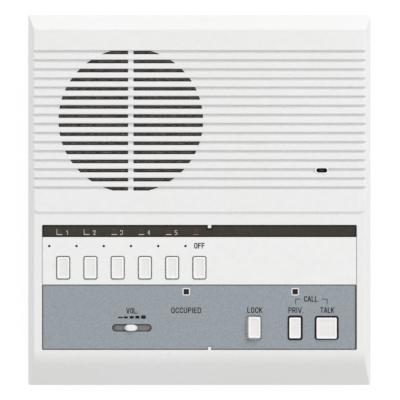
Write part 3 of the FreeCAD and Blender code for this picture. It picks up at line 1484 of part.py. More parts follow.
def capacitors():
    cans = []
    x = amplifier_low_x + s.capacitor_from_left
    for number in range(CAPACITOR_COUNT):
        y = amplifier_low_y + s.capacitor_from_low + s.capacitor_pitch * number
        can = rod(f"capacitor_can_{number}", s.capacitor_radius, x, y, amplifier_top_z,
                  amplifier_top_z + s.capacitor_height)
        groove_z = amplifier_top_z + s.capacitor_height * CRIMP_SHARE
        ring = doc.addObject("Part::Torus", f"capacitor_crimp_{number}")
        ring.setExpression("Radius1", (s.capacitor_radius + s.capacitor_vent).text)
        ring.setExpression("Radius2", (s.capacitor_vent * 2).text)
        put(ring, x, y, groove_z)
        cans.append(cut(f"capacitor_{number}", can, ring))
    keep("capacitors", group("capacitor_group", cans))


capacitors()


def transistors():
    cans = []
    for number in range(TRANSISTOR_COUNT):
        x = amplifier_low_x + s.transistor_from_left + s.transistor_pitch * number
        y = amplifier_low_y + s.transistor_from_low
        low_z = amplifier_top_z + s.transistor_leg
        can = rod(f"transistor_can_{number}", s.transistor_radius, x, y, low_z, low_z + s.transistor_height)
        side = s.transistor_radius * 2
        flat = block(f"transistor_flat_{number}", (x - side, y + s.transistor_flat, low_z),
                     (x + side, y + side, low_z + s.transistor_height))
        leg = s.transistor_leg_side
        legs = [centred_block(f"transistor_leg_{number}_{place}", x + s.transistor_flat * (place - 1), y,
                              leg, leg, amplifier_top_z, low_z) for place in range(3)]
        cans.append(fuse(f"transistor_{number}", cut(f"transistor_case_{number}", can, flat), *legs))
    keep("transistors", group("transistor_group", cans))


transistors()


def terminal_block():
    """A barrier strip: a low step for the wire screws, a high back, and a wall between each pair."""
    left, right = cable_entry_x - s.terminal_length / 2, cable_entry_x + s.terminal_length / 2
    high = amplifier_high_y - s.terminal_edge
    low = high - s.terminal_depth
    step_z = amplifier_top_z + s.terminal_step
    top_z = amplifier_top_z + s.terminal_height
    base = block("terminal_base", (left, low, amplifier_top_z), (right, high, step_z))
    walls = []
    for number in range(TERMINAL_COUNT + 1):
        x = left + terminal_pitch * number
        walls.append(block(f"terminal_wall_{number}", (x, low, amplifier_top_z),
                           (x + s.terminal_wall, high, top_z)))
    keep("terminal_block", fuse("terminal_block_solid", base, *walls))
    screws = []
    for number in range(TERMINAL_COUNT):
        x = left + terminal_pitch * number + (terminal_pitch + s.terminal_wall) / 2
        y = (low + high) / 2
        head = rod(f"terminal_head_{number}", s.terminal_screw_radius, x, y, step_z,
                   step_z + s.terminal_screw_height)
        slot = centred_block(f"terminal_slot_{number}", x, y, s.terminal_screw_radius * 2 + s.fit_gap,
                             s.terminal_screw_slot, step_z + s.terminal_screw_height / 2,
                             step_z + s.terminal_screw_height)
        screws.append(cut(f"terminal_screw_{number}", head, slot))
    keep("terminal_screws", group("terminal_screw_group", screws))


terminal_block()

board_screw_list = [small_screw(f"main_screw_{number}", x, y, main_board_z, 1, s.screw_bite)
                    for number, (x, y) in enumerate(main_board_posts())]
board_screw_list += [small_screw(f"amplifier_screw_{number}", x, y, amplifier_top_z, -1, s.screw_bite)
                     for number, (x, y) in enumerate(amplifier_posts())]
board_screw_list += [small_screw(f"lamp_screw_{number}", x, y, lamp_board_top_z - s.small_board_thickness, 1,
                                 s.lamp_screw_bite)
                     for number, (x, y) in enumerate(lamp_board_posts())]
board_screw_list += [small_screw(f"pot_screw_{number}", x, y, pot_top_z - s.pot_ear_thickness, 1,
                                 inner_z - pot_top_z + s.pot_ear_thickness + s.screw_into_face)
                     for number, (x, y) in enumerate(pot_ear_places())]
keep("board_screws", group("board_screw_group", board_screw_list))


# Leads inside the case

def lead(name, points, radius):
    """A round lead along straight runs joined by tangent arcs, as large as the runs allow."""
    points = [Vector(*(as_size(amount).value for amount in point)) for point in points]
    edges = []
    radii = []
    start = points[0]
    for before, corner, after in zip(points, points[1:], points[2:]):
        back, ahead = (before - corner).normalize(), (after - corner).normalize()
        turn = math.pi - back.getAngle(ahead)
        shorter = min(before.distanceToPoint(corner), after.distanceToPoint(corner))
        bend = shorter * ARC_SHARE / math.tan(turn / 2)
        radii.append(bend)
        first, last = corner + back * shorter * ARC_SHARE, corner + ahead * shorter * ARC_SHARE
        inward = (back + ahead).normalize()
        middle = corner + inward * (bend / math.cos(turn / 2) - bend)
        edges.append(Part.LineSegment(start, first).toShape())
        edges.append(Part.Arc(first, middle, last).toShape())
        start = last
    edges.append(Part.LineSegment(start, points[-1]).toShape())
    path = Part.Wire(edges)
    section = Part.Wire(Part.Circle(points[0], points[1] - points[0], radius.value).toShape())
    item = doc.addObject("Part::Feature", name)
    item.Shape = path.makePipeShell([section], True, False)
    expected = path.Length * math.pi * radius.value ** 2
    print(name, "length", round(path.Length, 1), "volume ratio", round(item.Shape.Volume / expected, 4),
          "radii", [round(bend, 1) for bend in radii])
    return keep(name, item)


tag_x = speaker_x + s.tag_length / 4
landing_y = speaker_y - s.tag_width / 2
lead_run = amplifier_low_x - s.tag_width / 2 - tag_x
floor_lead_z = floor_z + s.lead_floor_gap
hump_z = amplifier_top_z + s.lead_hump
lead("speaker_lead", [
    (tag_x, speaker_y, speaker_tag_z),
    (tag_x, speaker_y, speaker_tag_z - s.lead_drop),
    (tag_x + lead_run * SPEAKER_LEAD_SHARES[0], speaker_y + s.tag_width / 4, floor_lead_z),
    (tag_x + lead_run * SPEAKER_LEAD_SHARES[1], speaker_y - s.tag_width / 4, floor_lead_z),
    (tag_x + lead_run, landing_y, hump_z),
    (amplifier_low_x + s.lead_drop, landing_y, hump_z),
    (amplifier_low_x + s.lead_drop, landing_y, amplifier_top_z),
], s.lead_radius)
lead("microphone_lead", [
    (microphone_x, microphone_y, microphone_low_z + s.boot_floor),
    (microphone_x, microphone_y, microphone_low_z - s.boot_radius),
    (microphone_x + s.boot_radius, amplifier_low_y + s.lead_landing, hump_z + s.boot_radius),
    (microphone_x + s.boot_radius, amplifier_low_y + s.lead_landing, amplifier_top_z),
], s.lead_radius)


def ribbon():
    """A flat lead between the two boards, with a moulded plug at each end."""
    body = new_body("ribbon_strip")
    sketch = new_sketch(body, "YZ_Plane", ribbon_x)
    half = s.ribbon_thickness / 2
    low_z = amplifier_top_z + s.ribbon_header_height / 2
    high_z = main_board_top_z + s.ribbon_header_height / 2
    start = amplifier_low_y + s.ribbon_header_depth
    stop = main_board_high_y - s.ribbon_header_depth
    bend_low = start - s.ribbon_reach - s.ribbon_header_depth
    bend_high = stop + s.ribbon_reach
    corners = [
        (start, low_z - half), (start, low_z + half), (bend_low + half, low_z + half),
        (bend_high + half, high_z + half), (stop, high_z + half), (stop, high_z - half),
        (bend_high - half, high_z - half), (bend_low - half, low_z - half),
    ]
    outline(sketch, corners)
    pad(body, sketch, s.ribbon_width, midplane=True)
    headers = [
        centred_block("ribbon_header_low", ribbon_x, start + s.ribbon_header_depth / 2,
                      s.ribbon_width + s.ribbon_header_depth, s.ribbon_header_depth, amplifier_top_z,
                      amplifier_top_z + s.ribbon_header_height),
        centred_block("ribbon_header_high", ribbon_x, stop - s.ribbon_header_depth / 2,
                      s.ribbon_width + s.ribbon_header_depth, s.ribbon_header_depth, main_board_top_z,
                      main_board_top_z + s.ribbon_header_height),
    ]
    return keep("board_ribbon", fuse("board_ribbon_solid", body, *headers))


ribbon()


# Check every object and write one file for each piece

doc.recompute()
for item in doc.Objects:
    if "Invalid" in item.State or "Error" in item.State:
        raise RuntimeError(f"{item.Name} failed: {item.State}")
for name, item in pieces.items():
    if item.Shape.isNull() or not item.Shape.isValid():
        raise RuntimeError(f"{name} has no valid shape")
os.makedirs("parts", exist_ok=True)
for name, item in pieces.items():
    item.Shape.exportStep(f"parts/{name}.step")
print(len(pieces), "pieces written")
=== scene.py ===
# %% [markdown]
# This lesson dresses a desk intercom that was built in CAD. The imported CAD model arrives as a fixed
# frame of named nodes, each riding on a body that may move. Nothing in it is moved or reshaped here:
# a node keeps its shape and gets a finish, or a finer piece takes its place. We read every place and
# size that the frame already holds, so that the dressed model fits without any hand fitting.

# %% Load the frame
import json
import math

import bpy
import numpy as np
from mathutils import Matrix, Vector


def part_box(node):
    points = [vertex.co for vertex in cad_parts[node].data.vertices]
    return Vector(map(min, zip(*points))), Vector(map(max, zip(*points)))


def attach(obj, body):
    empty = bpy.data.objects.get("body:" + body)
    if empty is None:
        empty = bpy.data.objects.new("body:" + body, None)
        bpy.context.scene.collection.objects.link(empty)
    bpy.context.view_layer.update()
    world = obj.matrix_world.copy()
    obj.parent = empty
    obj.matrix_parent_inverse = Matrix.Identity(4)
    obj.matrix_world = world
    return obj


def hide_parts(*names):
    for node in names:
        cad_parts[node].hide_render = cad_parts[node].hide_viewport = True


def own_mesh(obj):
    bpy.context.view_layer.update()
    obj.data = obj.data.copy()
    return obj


MM = 0.001  # Blender works in metres, and the sizes here are written as millimetres times MM

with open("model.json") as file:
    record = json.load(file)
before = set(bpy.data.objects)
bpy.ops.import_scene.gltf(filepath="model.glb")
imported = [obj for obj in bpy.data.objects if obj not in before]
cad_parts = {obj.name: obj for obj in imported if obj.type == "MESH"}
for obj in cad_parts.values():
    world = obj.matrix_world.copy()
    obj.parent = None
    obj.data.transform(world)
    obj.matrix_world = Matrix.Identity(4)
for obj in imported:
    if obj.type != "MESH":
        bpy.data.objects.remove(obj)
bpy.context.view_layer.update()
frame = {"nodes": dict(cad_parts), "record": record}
scene = bpy.context.scene
scene.view_settings.view_transform = "Standard"
slot_of = {row["node"]: row["material_slot"] for row in frame["record"]["subparts"]}

# %% [markdown]
# The photograph looks straight down on the face from far away, so its edges run almost parallel. We
# could use an orthographic camera, but a very long lens from a few metres up keeps the slight
# perspective of the real one. Half of the picture's width is a known width at the face, and the lens
# follows from the likeness of the two triangles in front of and behind the lens.

# %% Camera
CAMERA_HEIGHT = 6.5
HALF_VIEW = 114.24 * MM  # half of the picture's width, measured on the face
VIEW_CENTRE = (0.34 * MM, -0.06 * MM)
SENSOR_WIDTH = 36.0

plate_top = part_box("name_plate")[1].z
camera_data = bpy.data.cameras.new("camera")
camera_data.sensor_width = SENSOR_WIDTH
camera_data.lens = SENSOR_WIDTH / 2 * (CAMERA_HEIGHT - plate_top) / HALF_VIEW
camera_data.clip_start = 1.0
camera_data.clip_end = 20.0
camera = bpy.data.objects.new("camera", camera_data)
camera.location = (*VIEW_CENTRE, CAMERA_HEIGHT)
scene.collection.objects.link(camera)
scene.camera = camera
print("lens", round(camera_data.lens, 1), "mm")

# %% [markdown]
# A material's graph is built from many small nodes. One helper adds a node, sets its options and fills
# its inputs with numbers or with the outputs of other nodes, so that each finish below reads like a
# recipe. A second one wraps an effect as a group with named inputs and outputs, which any finish can
# then use with its own values, and a third places such a group. The others are short names for the
# sums, mixes and places that the finishes use most.

# %% Node helpers
FLOAT = "NodeSocketFloat"
COLOUR = "NodeSocketColor"
VECTOR = "NodeSocketVector"


def fill(tree, made, inputs):
    """Fills a node's inputs, by name or place, with values or with the outputs of other nodes."""
    for key, value in (inputs or {}).items():
        if isinstance(value, bpy.types.NodeSocket):
            tree.links.new(value, made.inputs[key])
        else:
            made.inputs[key].default_value = value


def node(tree, kind, inputs=None, **settings):
    """Adds a node of a kind, sets its options and fills its inputs."""
    made = tree.nodes.new(kind)
    for name, value in settings.items():
        setattr(made, name, value)
    fill(tree, made, inputs)
    return made


def group(name, inputs, outputs):
    """Makes an empty group with the named inputs and outputs; returns it, its start and its end."""
    tree = bpy.data.node_groups.new(name, "ShaderNodeTree")
    for label, kind, value in inputs:
        socket = tree.interface.new_socket(label, in_out="INPUT", socket_type=kind)
        socket.default_value = value
    for label, kind in outputs:
        tree.interface.new_socket(label, in_out="OUTPUT", socket_type=kind)
    start = tree.nodes.new("NodeGroupInput").outputs
    end = tree.nodes.new("NodeGroupOutput").inputs
    return tree, start, end


def place(tree, effect, inputs=None):
    """Puts a group into a material and returns its outputs."""
    return node(tree, "ShaderNodeGroup", inputs, node_tree=effect).outputs


def maths(tree, operation, first, second=0.0, third=0.0):
    """One sum on two or three numbers."""
    return node(tree, "ShaderNodeMath", {0: first, 1: second, 2: third}, operation=operation).outputs[0]


def vector_maths(tree, operation, *inputs):
    """One sum on vectors, whose outcome is a number for DOT_PRODUCT and LENGTH and else a vector."""
    made = node(tree, "ShaderNodeVectorMath", dict(enumerate(inputs)), operation=operation)
    return made.outputs["Value" if operation in ("DOT_PRODUCT", "LENGTH") else "Vector"]


def spread(tree, value, low, high, from_low=0.0, from_high=1.0):
    """Maps a value from one range to another, held within the second."""
    inputs = {"Value": value, "From Min": from_low, "From Max": from_high, "To Min": low, "To Max": high}
    return node(tree, "ShaderNodeMapRange", inputs).outputs[0]


def mixed(tree, share, first, second):
    """Mixes two colours by a share from 0 to 1."""
    inputs = {0: share, 6: first, 7: second}
    return node(tree, "ShaderNodeMix", inputs, data_type="RGBA").outputs[2]


def touched(tree, mask, strength, ground, colour):
    """Lays a colour over a ground by a mask times a strength."""
    return mixed(tree, maths(tree, "MULTIPLY", mask, strength), ground, colour)


def noise(tree, where, scale, detail=2.0, roughness=0.5):
    """A cloud of values from 0 to 1 over a place."""
    inputs = {"Vector": where, "Scale": scale, "Detail": detail, "Roughness": roughness}
    return node(tree, "ShaderNodeTexNoise", inputs).outputs[0]


def object_place(tree):
    """The place of a point on its object, in metres."""
    return node(tree, "ShaderNodeTexCoord").outputs["Object"]


def coordinate(tree, axis):
    """The place of a point along one axis of its object, in metres."""
    return node(tree, "ShaderNodeSeparateXYZ", {0: object_place(tree)}).outputs[axis]


def facing(tree, axis):
    """How far the surface looks along an axis, from -1 to 1."""
    normal = node(tree, "ShaderNodeNewGeometry").outputs["Normal"]
    return node(tree, "ShaderNodeSeparateXYZ", {0: normal}).outputs[axis]


print("node helpers ready")

# %% [markdown]
# The object was photographed on white under soft, plain light. The sky gives most of that light, at
# one level from everywhere, and one large lamp from beyond the top edge, a little to the right, makes
# the top bevel bright and the left side and the lower slope darker. The white background is a matter
# of what the camera and the reflections see, so it comes from the Light Path and adds no light.

# %% Light
SKY_LIGHT = 0.81
SKY_SEEN = 1.0
KEY_DIRECTION = np.array([0.45, 0.75, 0.6])
KEY_DISTANCE = 3.0
KEY_SIZE = 1.4
KEY_SHARE = 0.35  # what the key adds to a white surface that faces it, where 1 is full white


def seen_not_lit(tree):
    """1 for rays that look at a surface, straight, in a reflection or through glass, and 0 for light."""
    path = node(tree, "ShaderNodeLightPath").outputs
    seen = maths(tree, "MAXIMUM", path["Is Camera Ray"], path["Is Glossy Ray"])
    return maths(tree, "MAXIMUM", seen, path["Is Transmission Ray"])


world = bpy.data.worlds.new("studio_sky")
world.use_nodes = True
sky_tree = world.node_tree
sky = sky_tree.nodes["Background"]
sky.inputs["Color"].default_value = (1, 1, 1, 1)
strength = spread(sky_tree, seen_not_lit(sky_tree), SKY_LIGHT, SKY_SEEN)
sky_tree.links.new(strength, sky.inputs["Strength"])
scene.world = world

key_data = bpy.data.lights.new("key_lamp", "AREA")
key_data.size = KEY_SIZE
key_data.energy = KEY_SHARE * math.pi**2 * KEY_DISTANCE**2
key_lamp = bpy.data.objects.new("key_lamp", key_data)
toward_key = KEY_DIRECTION / np.linalg.norm(KEY_DIRECTION)
key_lamp.location = toward_key * KEY_DISTANCE
key_lamp.rotation_euler = key_lamp.location.to_track_quat("Z", "Y").to_euler()
key_lamp.visible_camera = False
scene.collection.objects.link(key_lamp)
print("key lamp", round(key_data.energy, 1), "W")

# %% [markdown]
# The floor is one pale sheet. Seen by the camera it is mostly its own white, with a share of real
# diffuse white that still takes the shadow of the case. For light that bounces it is a plain pale
# diffuse surface, so the sides of the case are lit from below as on a real table.

# %% Floor
FLOOR_HALF = 4.0
FLOOR_GLOW = 0.90
FLOOR_SHADED = (0.18, 0.18, 0.18, 1)
FLOOR_BOUNCE = (0.8, 0.8, 0.8, 1)


def floor_finish():
    """Bright and faintly shaded for what looks at it, plain pale for light that bounces."""
    made = bpy.data.materials.new("pale_floor")
    made.use_nodes = True
    tree = made.node_tree
    tree.nodes.clear()
    glow = node(tree, "ShaderNodeEmission", {"Color": (1, 1, 1, 1), "Strength": FLOOR_GLOW})
    shaded = node(tree, "ShaderNodeBsdfDiffuse", {"Color": FLOOR_SHADED})
    bounce = node(tree, "ShaderNodeBsdfDiffuse", {"Color": FLOOR_BOUNCE})
    seen = node(tree, "ShaderNodeAddShader", {0: glow.outputs[0], 1: shaded.outputs[0]})
    inputs = {0: seen_not_lit(tree), 1: bounce.outputs[0], 2: seen.outputs[0]}
    both = node(tree, "ShaderNodeMixShader", inputs)
    node(tree, "ShaderNodeOutputMaterial", {"Surface": both.outputs[0]})
    return made


corners = [(-FLOOR_HALF, -FLOOR_HALF, 0), (FLOOR_HALF, -FLOOR_HALF, 0)]
corners += [(FLOOR_HALF, FLOOR_HALF, 0), (-FLOOR_HALF, FLOOR_HALF, 0)]
floor_mesh = bpy.data.meshes.new("floor")
floor_mesh.from_pydata(corners, [], [(0, 1, 2, 3)])
floor_mesh.materials.append(floor_finish())
floor = bpy.data.objects.new("floor", floor_mesh)
scene.collection.objects.link(floor)

# %% [markdown]
# Moulded and pressed pieces never have knife edges. The Bevel node rounds them in the shading alone,
# and where its normal leaves the true one there is an edge, which gives a mask for wear. Modelling
# each round would be truer still, but the frame's meshes are fixed, and these rounds are a few tenths
# of a millimetre.

# %% Group: soft edges
def soft_edges_group():
    """Normal: the normal rounded within Radius. Edge: how far it turned from the flat one, 0 to 1."""
    outputs = [("Normal", VECTOR), ("Edge", FLOAT)]
    tree, start, end = group("soft_edges", [("Radius", FLOAT, 0.3 * MM)], outputs)
    bevel = node(tree, "ShaderNodeBevel", {"Radius": start["Radius"]}, samples=6)
    true_normal = node(tree, "ShaderNodeNewGeometry").outputs["Normal"]
    agreement = vector_maths(tree, "DOT_PRODUCT", bevel.outputs[0], true_normal)
    tree.links.new(bevel.outputs[0], end["Normal"])
    tree.links.new(spread(tree, agreement, 1.0, 0.0, 0.8, 0.995), end["Edge"])
    return tree


soft_edges = soft_edges_group()
print("soft edges:", [socket.name for socket in soft_edges.interface.items_tree])

# %% [markdown]
# A moulding tool is spark-eroded or blasted, and the plastic copies that: a fine grain of rounded
# pits, with a coarser unevenness below it. Two clouds of noise at two sizes add up to the height of
# such a skin. An image of a grain would repeat, while noise never does.

# %% Group: moulded grain
def moulded_grain_group():
    """Height: fine noise of the grain's Size plus half as much at three times the size, 0 to 1."""
    tree, start, end = group("moulded_grain", [("Size", FLOAT, 0.4 * MM)], [("Height", FLOAT)])
    where = object_place(tree)
    fine_scale = maths(tree, "DIVIDE", 1.0, start["Size"])
    coarse_scale = maths(tree, "DIVIDE", fine_scale, 3.0)
    fine = noise(tree, where, fine_scale, 3.0)
    coarse = noise(tree, where, coarse_scale, 1.0)
    both = maths(tree, "MULTIPLY_ADD", coarse, 0.5, fine)
    tree.links.new(spread(tree, both, 0.0, 1.0, 0.35, 1.15), end["Height"])
    return tree


moulded_grain = moulded_grain_group()


def grain_height(tree, size):
    """The height of a moulded grain of one size."""
    return place(tree, moulded_grain, {"Size": size})["Height"]


print("moulded grain ready")

# %% [markdown]
# No real surface has one colour all over. Light, hands and years shift it slowly from place to place,
# so a large soft cloud moves the brightness a little and a second one the strength of the hue.

# %% Group: colour drift
DRIFT_SIZE = 30 * MM
DRIFT_TINT = 0.4


def colour_drift_group():
    """Color: the given colour, moved over clouds of Size by up to Amount in brightness and Tint in hue."""
    inputs = [
        ("Color", COLOUR, (0.8, 0.8, 0.8, 1)),
        ("Size", FLOAT, DRIFT_SIZE),
        ("Amount", FLOAT, 0.04),
        ("Tint", FLOAT, DRIFT_TINT),
    ]
    tree, start, end = group("colour_drift", inputs, [("Color", COLOUR)])
    where = object_place(tree)
    scale = maths(tree, "DIVIDE", 1.0, start["Size"])
    high = maths(tree, "ADD", 1.0, start["Amount"])
    low = maths(tree, "SUBTRACT", 1.0, start["Amount"])
    bright = spread(tree, noise(tree, where, scale, 4.0), 0.0, 1.0, 0.3, 0.7)
    wide_cloud = noise(tree, where, maths(tree, "MULTIPLY", scale, 0.6), 2.0)
    hue_cloud = spread(tree, wide_cloud, -1.0, 1.0, 0.3, 0.7)
    strong = maths(tree, "MULTIPLY_ADD", hue_cloud, start["Tint"], 1.0)
    value = spread(tree, bright, low, high)
    inputs = {"Color": start["Color"], "Saturation": strong, "Value": value}
    tree.links.new(node(tree, "ShaderNodeHueSaturation", inputs).outputs[0], end["Color"])
    return tree


colour_drift = colour_drift_group()


def drifted(tree, colour, size=DRIFT_SIZE, amount=0.04, tint=DRIFT_TINT):
    """A colour that shifts over clouds of one size."""
    inputs = {"Color": colour, "Size": size, "Amount": amount, "Tint": tint}
    return place(tree, colour_drift, inputs)["Color"]


print("colour drift ready")

# %% [markdown]
# Textured paint, ferrite and old laminate are full of tiny specks, lighter or darker than the ground.
# A Voronoi pattern gives each speck a cell, its distance field gives the round dot, and the cell's
# random colour decides which cells hold one and how strong it is.

# %% Group: speckle
def speckle_group():
    """Specks: round dots of up to half of Size, in a Share of the cells, each of its own strength."""
    inputs = [("Size", FLOAT, 0.5 * MM), ("Share", FLOAT, 0.3)]
    tree, start, end = group("speckle", inputs, [("Specks", FLOAT)])
    scale = maths(tree, "DIVIDE", 1.0, start["Size"])
    cells = node(tree, "ShaderNodeTexVoronoi", {"Vector": object_place(tree), "Scale": scale}).outputs
    dot = spread(tree, cells["Distance"], 1.0, 0.0, 0.15, 0.45)
    chance = node(tree, "ShaderNodeSeparateColor", {0: cells["Color"]}).outputs
    chosen = maths(tree, "LESS_THAN", chance[0], start["Share"])
    strength_of_dot = maths(tree, "MULTIPLY", dot, chance[1])
    tree.links.new(maths(tree, "MULTIPLY", strength_of_dot, chosen), end["Specks"])
    return tree


speckle = speckle_group()


def speck_mask(tree, size, share):
    """Specks in a share of cells of one size."""
    return place(tree, speckle, {"Size": size, "Share": share})["Specks"]


print("speckle ready")

# %% [markdown]
# Rolled, drawn and turned metal carries fine lines along one direction, and so do the fibres of paper
# and yarn. Noise whose space is squeezed across the lines and stretched along them draws these.

# %% Group: streaks
def streaks_group():
    """Lines: noise over the place times Stretch, which is large across the lines and small along them."""
    inputs = [("Stretch", VECTOR, (100.0, 4000.0, 4000.0))]
    tree, start, end = group("streaks", inputs, [("Lines", FLOAT)])
    stretched = vector_maths(tree, "MULTIPLY", object_place(tree), start["Stretch"])
    tree.links.new(spread(tree, noise(tree, stretched, 1.0, 3.0), 0.0, 1.0, 0.3, 0.7), end["Lines"])
    return tree


streaks = streaks_group()


def streak_lines(tree, stretch):
    """Fine lines for one stretch of space."""
    return place(tree, streaks, {"Stretch": stretch})["Lines"]


print("streaks ready")

# %% [markdown]
# Stacked laminations, turns of tape and the cores of a flat lead all repeat at a fixed pitch. The
# place along one direction, divided by the pitch, rises by one for each band, and folding it back and
# forth gives a ridge for each.

# %% Group: bands
def bands_group():
    """Ridge: 0 between two bands and 1 at each band's crest. Direction is one over the pitch, as a vector."""
    inputs = [("Direction", VECTOR, (0.0, 0.0, 1000.0))]
    tree, start, end = group("bands", inputs, [("Ridge", FLOAT)])
    along = vector_maths(tree, "DOT_PRODUCT", object_place(tree), start["Direction"])
    folded = maths(tree, "PINGPONG", along, 0.5)
    tree.links.new(spread(tree, folded, 0.0, 1.0, 0.0, 0.5), end["Ridge"])
    return tree


bands = bands_group()


def band_ridge(tree, *direction):
    """The ridges of bands for one direction."""
    return place(tree, bands, {"Direction": direction})["Ridge"]


print("bands ready")

# %% [markdown]
# Dust settles on what faces up and stays where nobody wipes. The normal's height says what faces up,
# and a patchy cloud keeps the film uneven.

# %% Group: dust
DUST_COLOUR = (0.42, 0.40, 0.36, 1)


def dust_group():
    """Dust: Amount on faces that look up, less where they lean, and patchy over a few millimetres."""
    tree, start, end = group("dust", [("Amount", FLOAT, 0.2)], [("Dust", FLOAT)])
    upward = spread(tree, facing(tree, "Z"), 0.0, 1.0, 0.2, 0.9)
    patchy = spread(tree, noise(tree, object_place(tree), 260.0, 5.0, 0.65), 0.2, 1.0, 0.35, 0.65)
    film = maths(tree, "MULTIPLY", upward, patchy)
    tree.links.new(maths(tree, "MULTIPLY", film, start["Amount"]), end["Dust"])
    return tree


dust = dust_group()


def dusted(tree, ground, amount):
    """A film of dust over a ground."""
    return mixed(tree, place(tree, dust, {"Amount": amount})["Dust"], ground, DUST_COLOUR)


print("dust ready")

# %% [markdown]
# Every finish starts from the same shader, whose even values are set once on its own sockets. The
# normal is always built in the same order: soft edges first, and the fine relief as a bump on top.

# %% A finish to start from
def finish(name, **sockets):
    """A new material, whose shader's sockets are set by name with underscores for spaces; returns the
    material, its tree and the sockets."""
    made = bpy.data.materials.new(name)
    made.use_nodes = True
    shader = made.node_tree.nodes["Principled BSDF"]
    for key, value in sockets.items():
        shader.inputs[key.replace("_", " ")].default_value = value
    return made, made.node_tree, shader.inputs


def relief(tree, sockets, height, depth, edge_radius=0.3 * MM):
    """Feeds Normal with soft edges and a bump of the given depth on them; returns the edge mask."""
    edges = place(tree, soft_edges, {"Radius": edge_radius})
    inputs = {"Height": height, "Distance": depth, "Normal": edges["Normal"]}
    bump = node(tree, "ShaderNodeBump", inputs)
    tree.links.new(bump.outputs[0], sockets["Normal"])
    return edges["Edge"]


def fed(made, colour, roughness, metallic=None):
    """Feeds a finish's shader with colour, roughness and, where it varies, metal; returns the finish."""
    shader = made.node_tree.nodes["Principled BSDF"]
    outcome = {"Base Color": colour, "Roughness": roughness}
    if metallic:
        outcome["Metallic"] = metallic
    fill(made.node_tree, shader, outcome)
    return made


def brighter(colour, gain):
    """The colour scaled by a gain, held at white."""
    return (*[min(1.0, part * gain) for part in colour[:3]], 1)


print("finishes start from the Principled BSDF")

# %% [markdown]
# Most pieces are plain mouldings or coated parts, and they differ in colour, gloss, grain and age. One
# function gives that recipe and a table of names gives the numbers. The front cover is the clean
# off-white of the photograph with a satin grain and comes next, the rear cover a coarse dark grey.

# %% Finishes: moulded plastics
def moulded(name, colour, roughness, grain, depth, worn, drift=0.03, dusty=0.1):
    """Drifting colour, edges worn lighter by the factor worn, dust on top, and a grain of one size."""
    made, tree, sockets = finish(name)
    height = grain_height(tree, grain * MM)
    edge = relief(tree, sockets, height, depth * MM)
    ground = drifted(tree, (*colour, 1), amount=drift)
    rubbed = touched(tree, edge, 0.5, ground, brighter(colour, worn))
    return fed(made, dusted(tree, rubbed, dusty), spread(tree, height, roughness - 0.06, roughness + 0.08))


MOULDED = {  # colour, roughness, size and depth of the grain in mm, wear, and for some drift and dust
    "rear_plastic": ((0.055, 0.056, 0.06), 0.55, 0.7, 0.12, 1.6),
    "plunger_plastic": ((0.62, 0.60, 0.52), 0.4, 0.5, 0.02, 1.15),
    "switch_plastic": ((0.012, 0.012, 0.014), 0.45, 0.4, 0.03, 2.0),
    "pot_case": ((0.085, 0.07, 0.058), 0.5, 0.5, 0.03, 1.5),
    "slider_plastic": ((0.37, 0.35, 0.335), 0.55, 0.6, 0.05, 1.15, 0.15, 0.5),
    "transistor_case": ((0.011, 0.011, 0.012), 0.6, 0.25, 0.03, 2.2),
    "terminal_plastic": ((0.02, 0.017, 0.015), 0.35, 0.5, 0.02, 1.8),
    "lead_sheath": ((0.09, 0.09, 0.10), 0.5, 0.6, 0.02, 1.1),
}
finishes = {name: moulded(name, *row) for name, row in MOULDED.items()}
print(len(finishes), "moulded finishes")

# %% [markdown]
# The front cover gets its own function because it is what the picture is of. Its white is neutral, a
# few greyish specks are moulded in, the grain is fine enough to look satin, and the years have drawn a
# very faint yellow over it in large soft patches.

# %% Finish: front cover
COVER_WHITE = (0.842, 0.845, 0.842, 1)
COVER_AGED = (0.82, 0.815, 0.785, 1)
COVER_SPECK = (0.60, 0.59, 0.56, 1)


def cover_plastic():
    """Off-white, aged in soft patches, with sparse specks and a satin grain."""
    made, tree, sockets = finish("cover_plastic")
    height = grain_height(tree, 0.45 * MM)
    edge = relief(tree, sockets, height, 0.035 * MM, edge_radius=0.35 * MM)
    patches = spread(tree, noise(tree, object_place(tree), 14.0, 3.0), 0.0, 0.45, 0.45, 0.75)
    aged = mixed(tree, patches, COVER_WHITE, COVER_AGED)
    drifting = drifted(tree, aged, 3.0 * MM, 0.012)
    specks = speck_mask(tree, 1.6 * MM, 0.06)
    specked = touched(tree, specks, 0.35, drifting, COVER_SPECK)
    rubbed = touched(tree, edge, 0.35, specked, brighter(COVER_WHITE, 1.06))
    return fed(made, dusted(tree, rubbed, 0.03), spread(tree, height, 0.40, 0.52))


finishes["cover_plastic"] = cover_plastic()
print("front cover finish ready")

# %% [markdown]
# Three plates fill the panel. The smoked lamp window is a hard gloss, so it shows the sky with a very
# dark brown beneath. The name plate is a white satin print. The control plate is sprayed blue-grey
# with the fine speckle of textured paint, both lighter and darker than its ground, and a painted
# shadow darkens its border and the edges of its openings in a dark line, widest on the right.

# %% Finishes: panel plates
def smoked_window():
    """Almost black brown and glossy, with hairline wipe marks in its roughness."""
    made, tree, sockets = finish("smoked_window", Specular_IOR_Level=0.4)
    wipes = streak_lines(tree, (60.0, 2600.0, 60.0))
    relief(tree, sockets, wipes, 0.002 * MM, edge_radius=0.2 * MM)
    ground = drifted(tree, (0.018, 0.0132, 0.0065, 1), 2.0 * MM, 0.25)
    return fed(made, dusted(tree, ground, 0.02), spread(tree, wipes, 0.16, 0.30))


def name_card():
    """White satin print with the faint unevenness of a rolled coat."""
    made, tree, sockets = finish("name_card")
    height = grain_height(tree, 0.6 * MM)
    relief(tree, sockets, height, 0.015 * MM, edge_radius=0.15 * MM)
    ground = drifted(tree, (0.85, 0.85, 0.845, 1), 4.0 * MM, 0.018)
    specks = speck_mask(tree, 1.2 * MM, 0.05)
    specked = touched(tree, specks, 0.25, ground, (0.5, 0.5, 0.5, 1))
    return fed(made, specked, spread(tree, height, 0.38, 0.5))
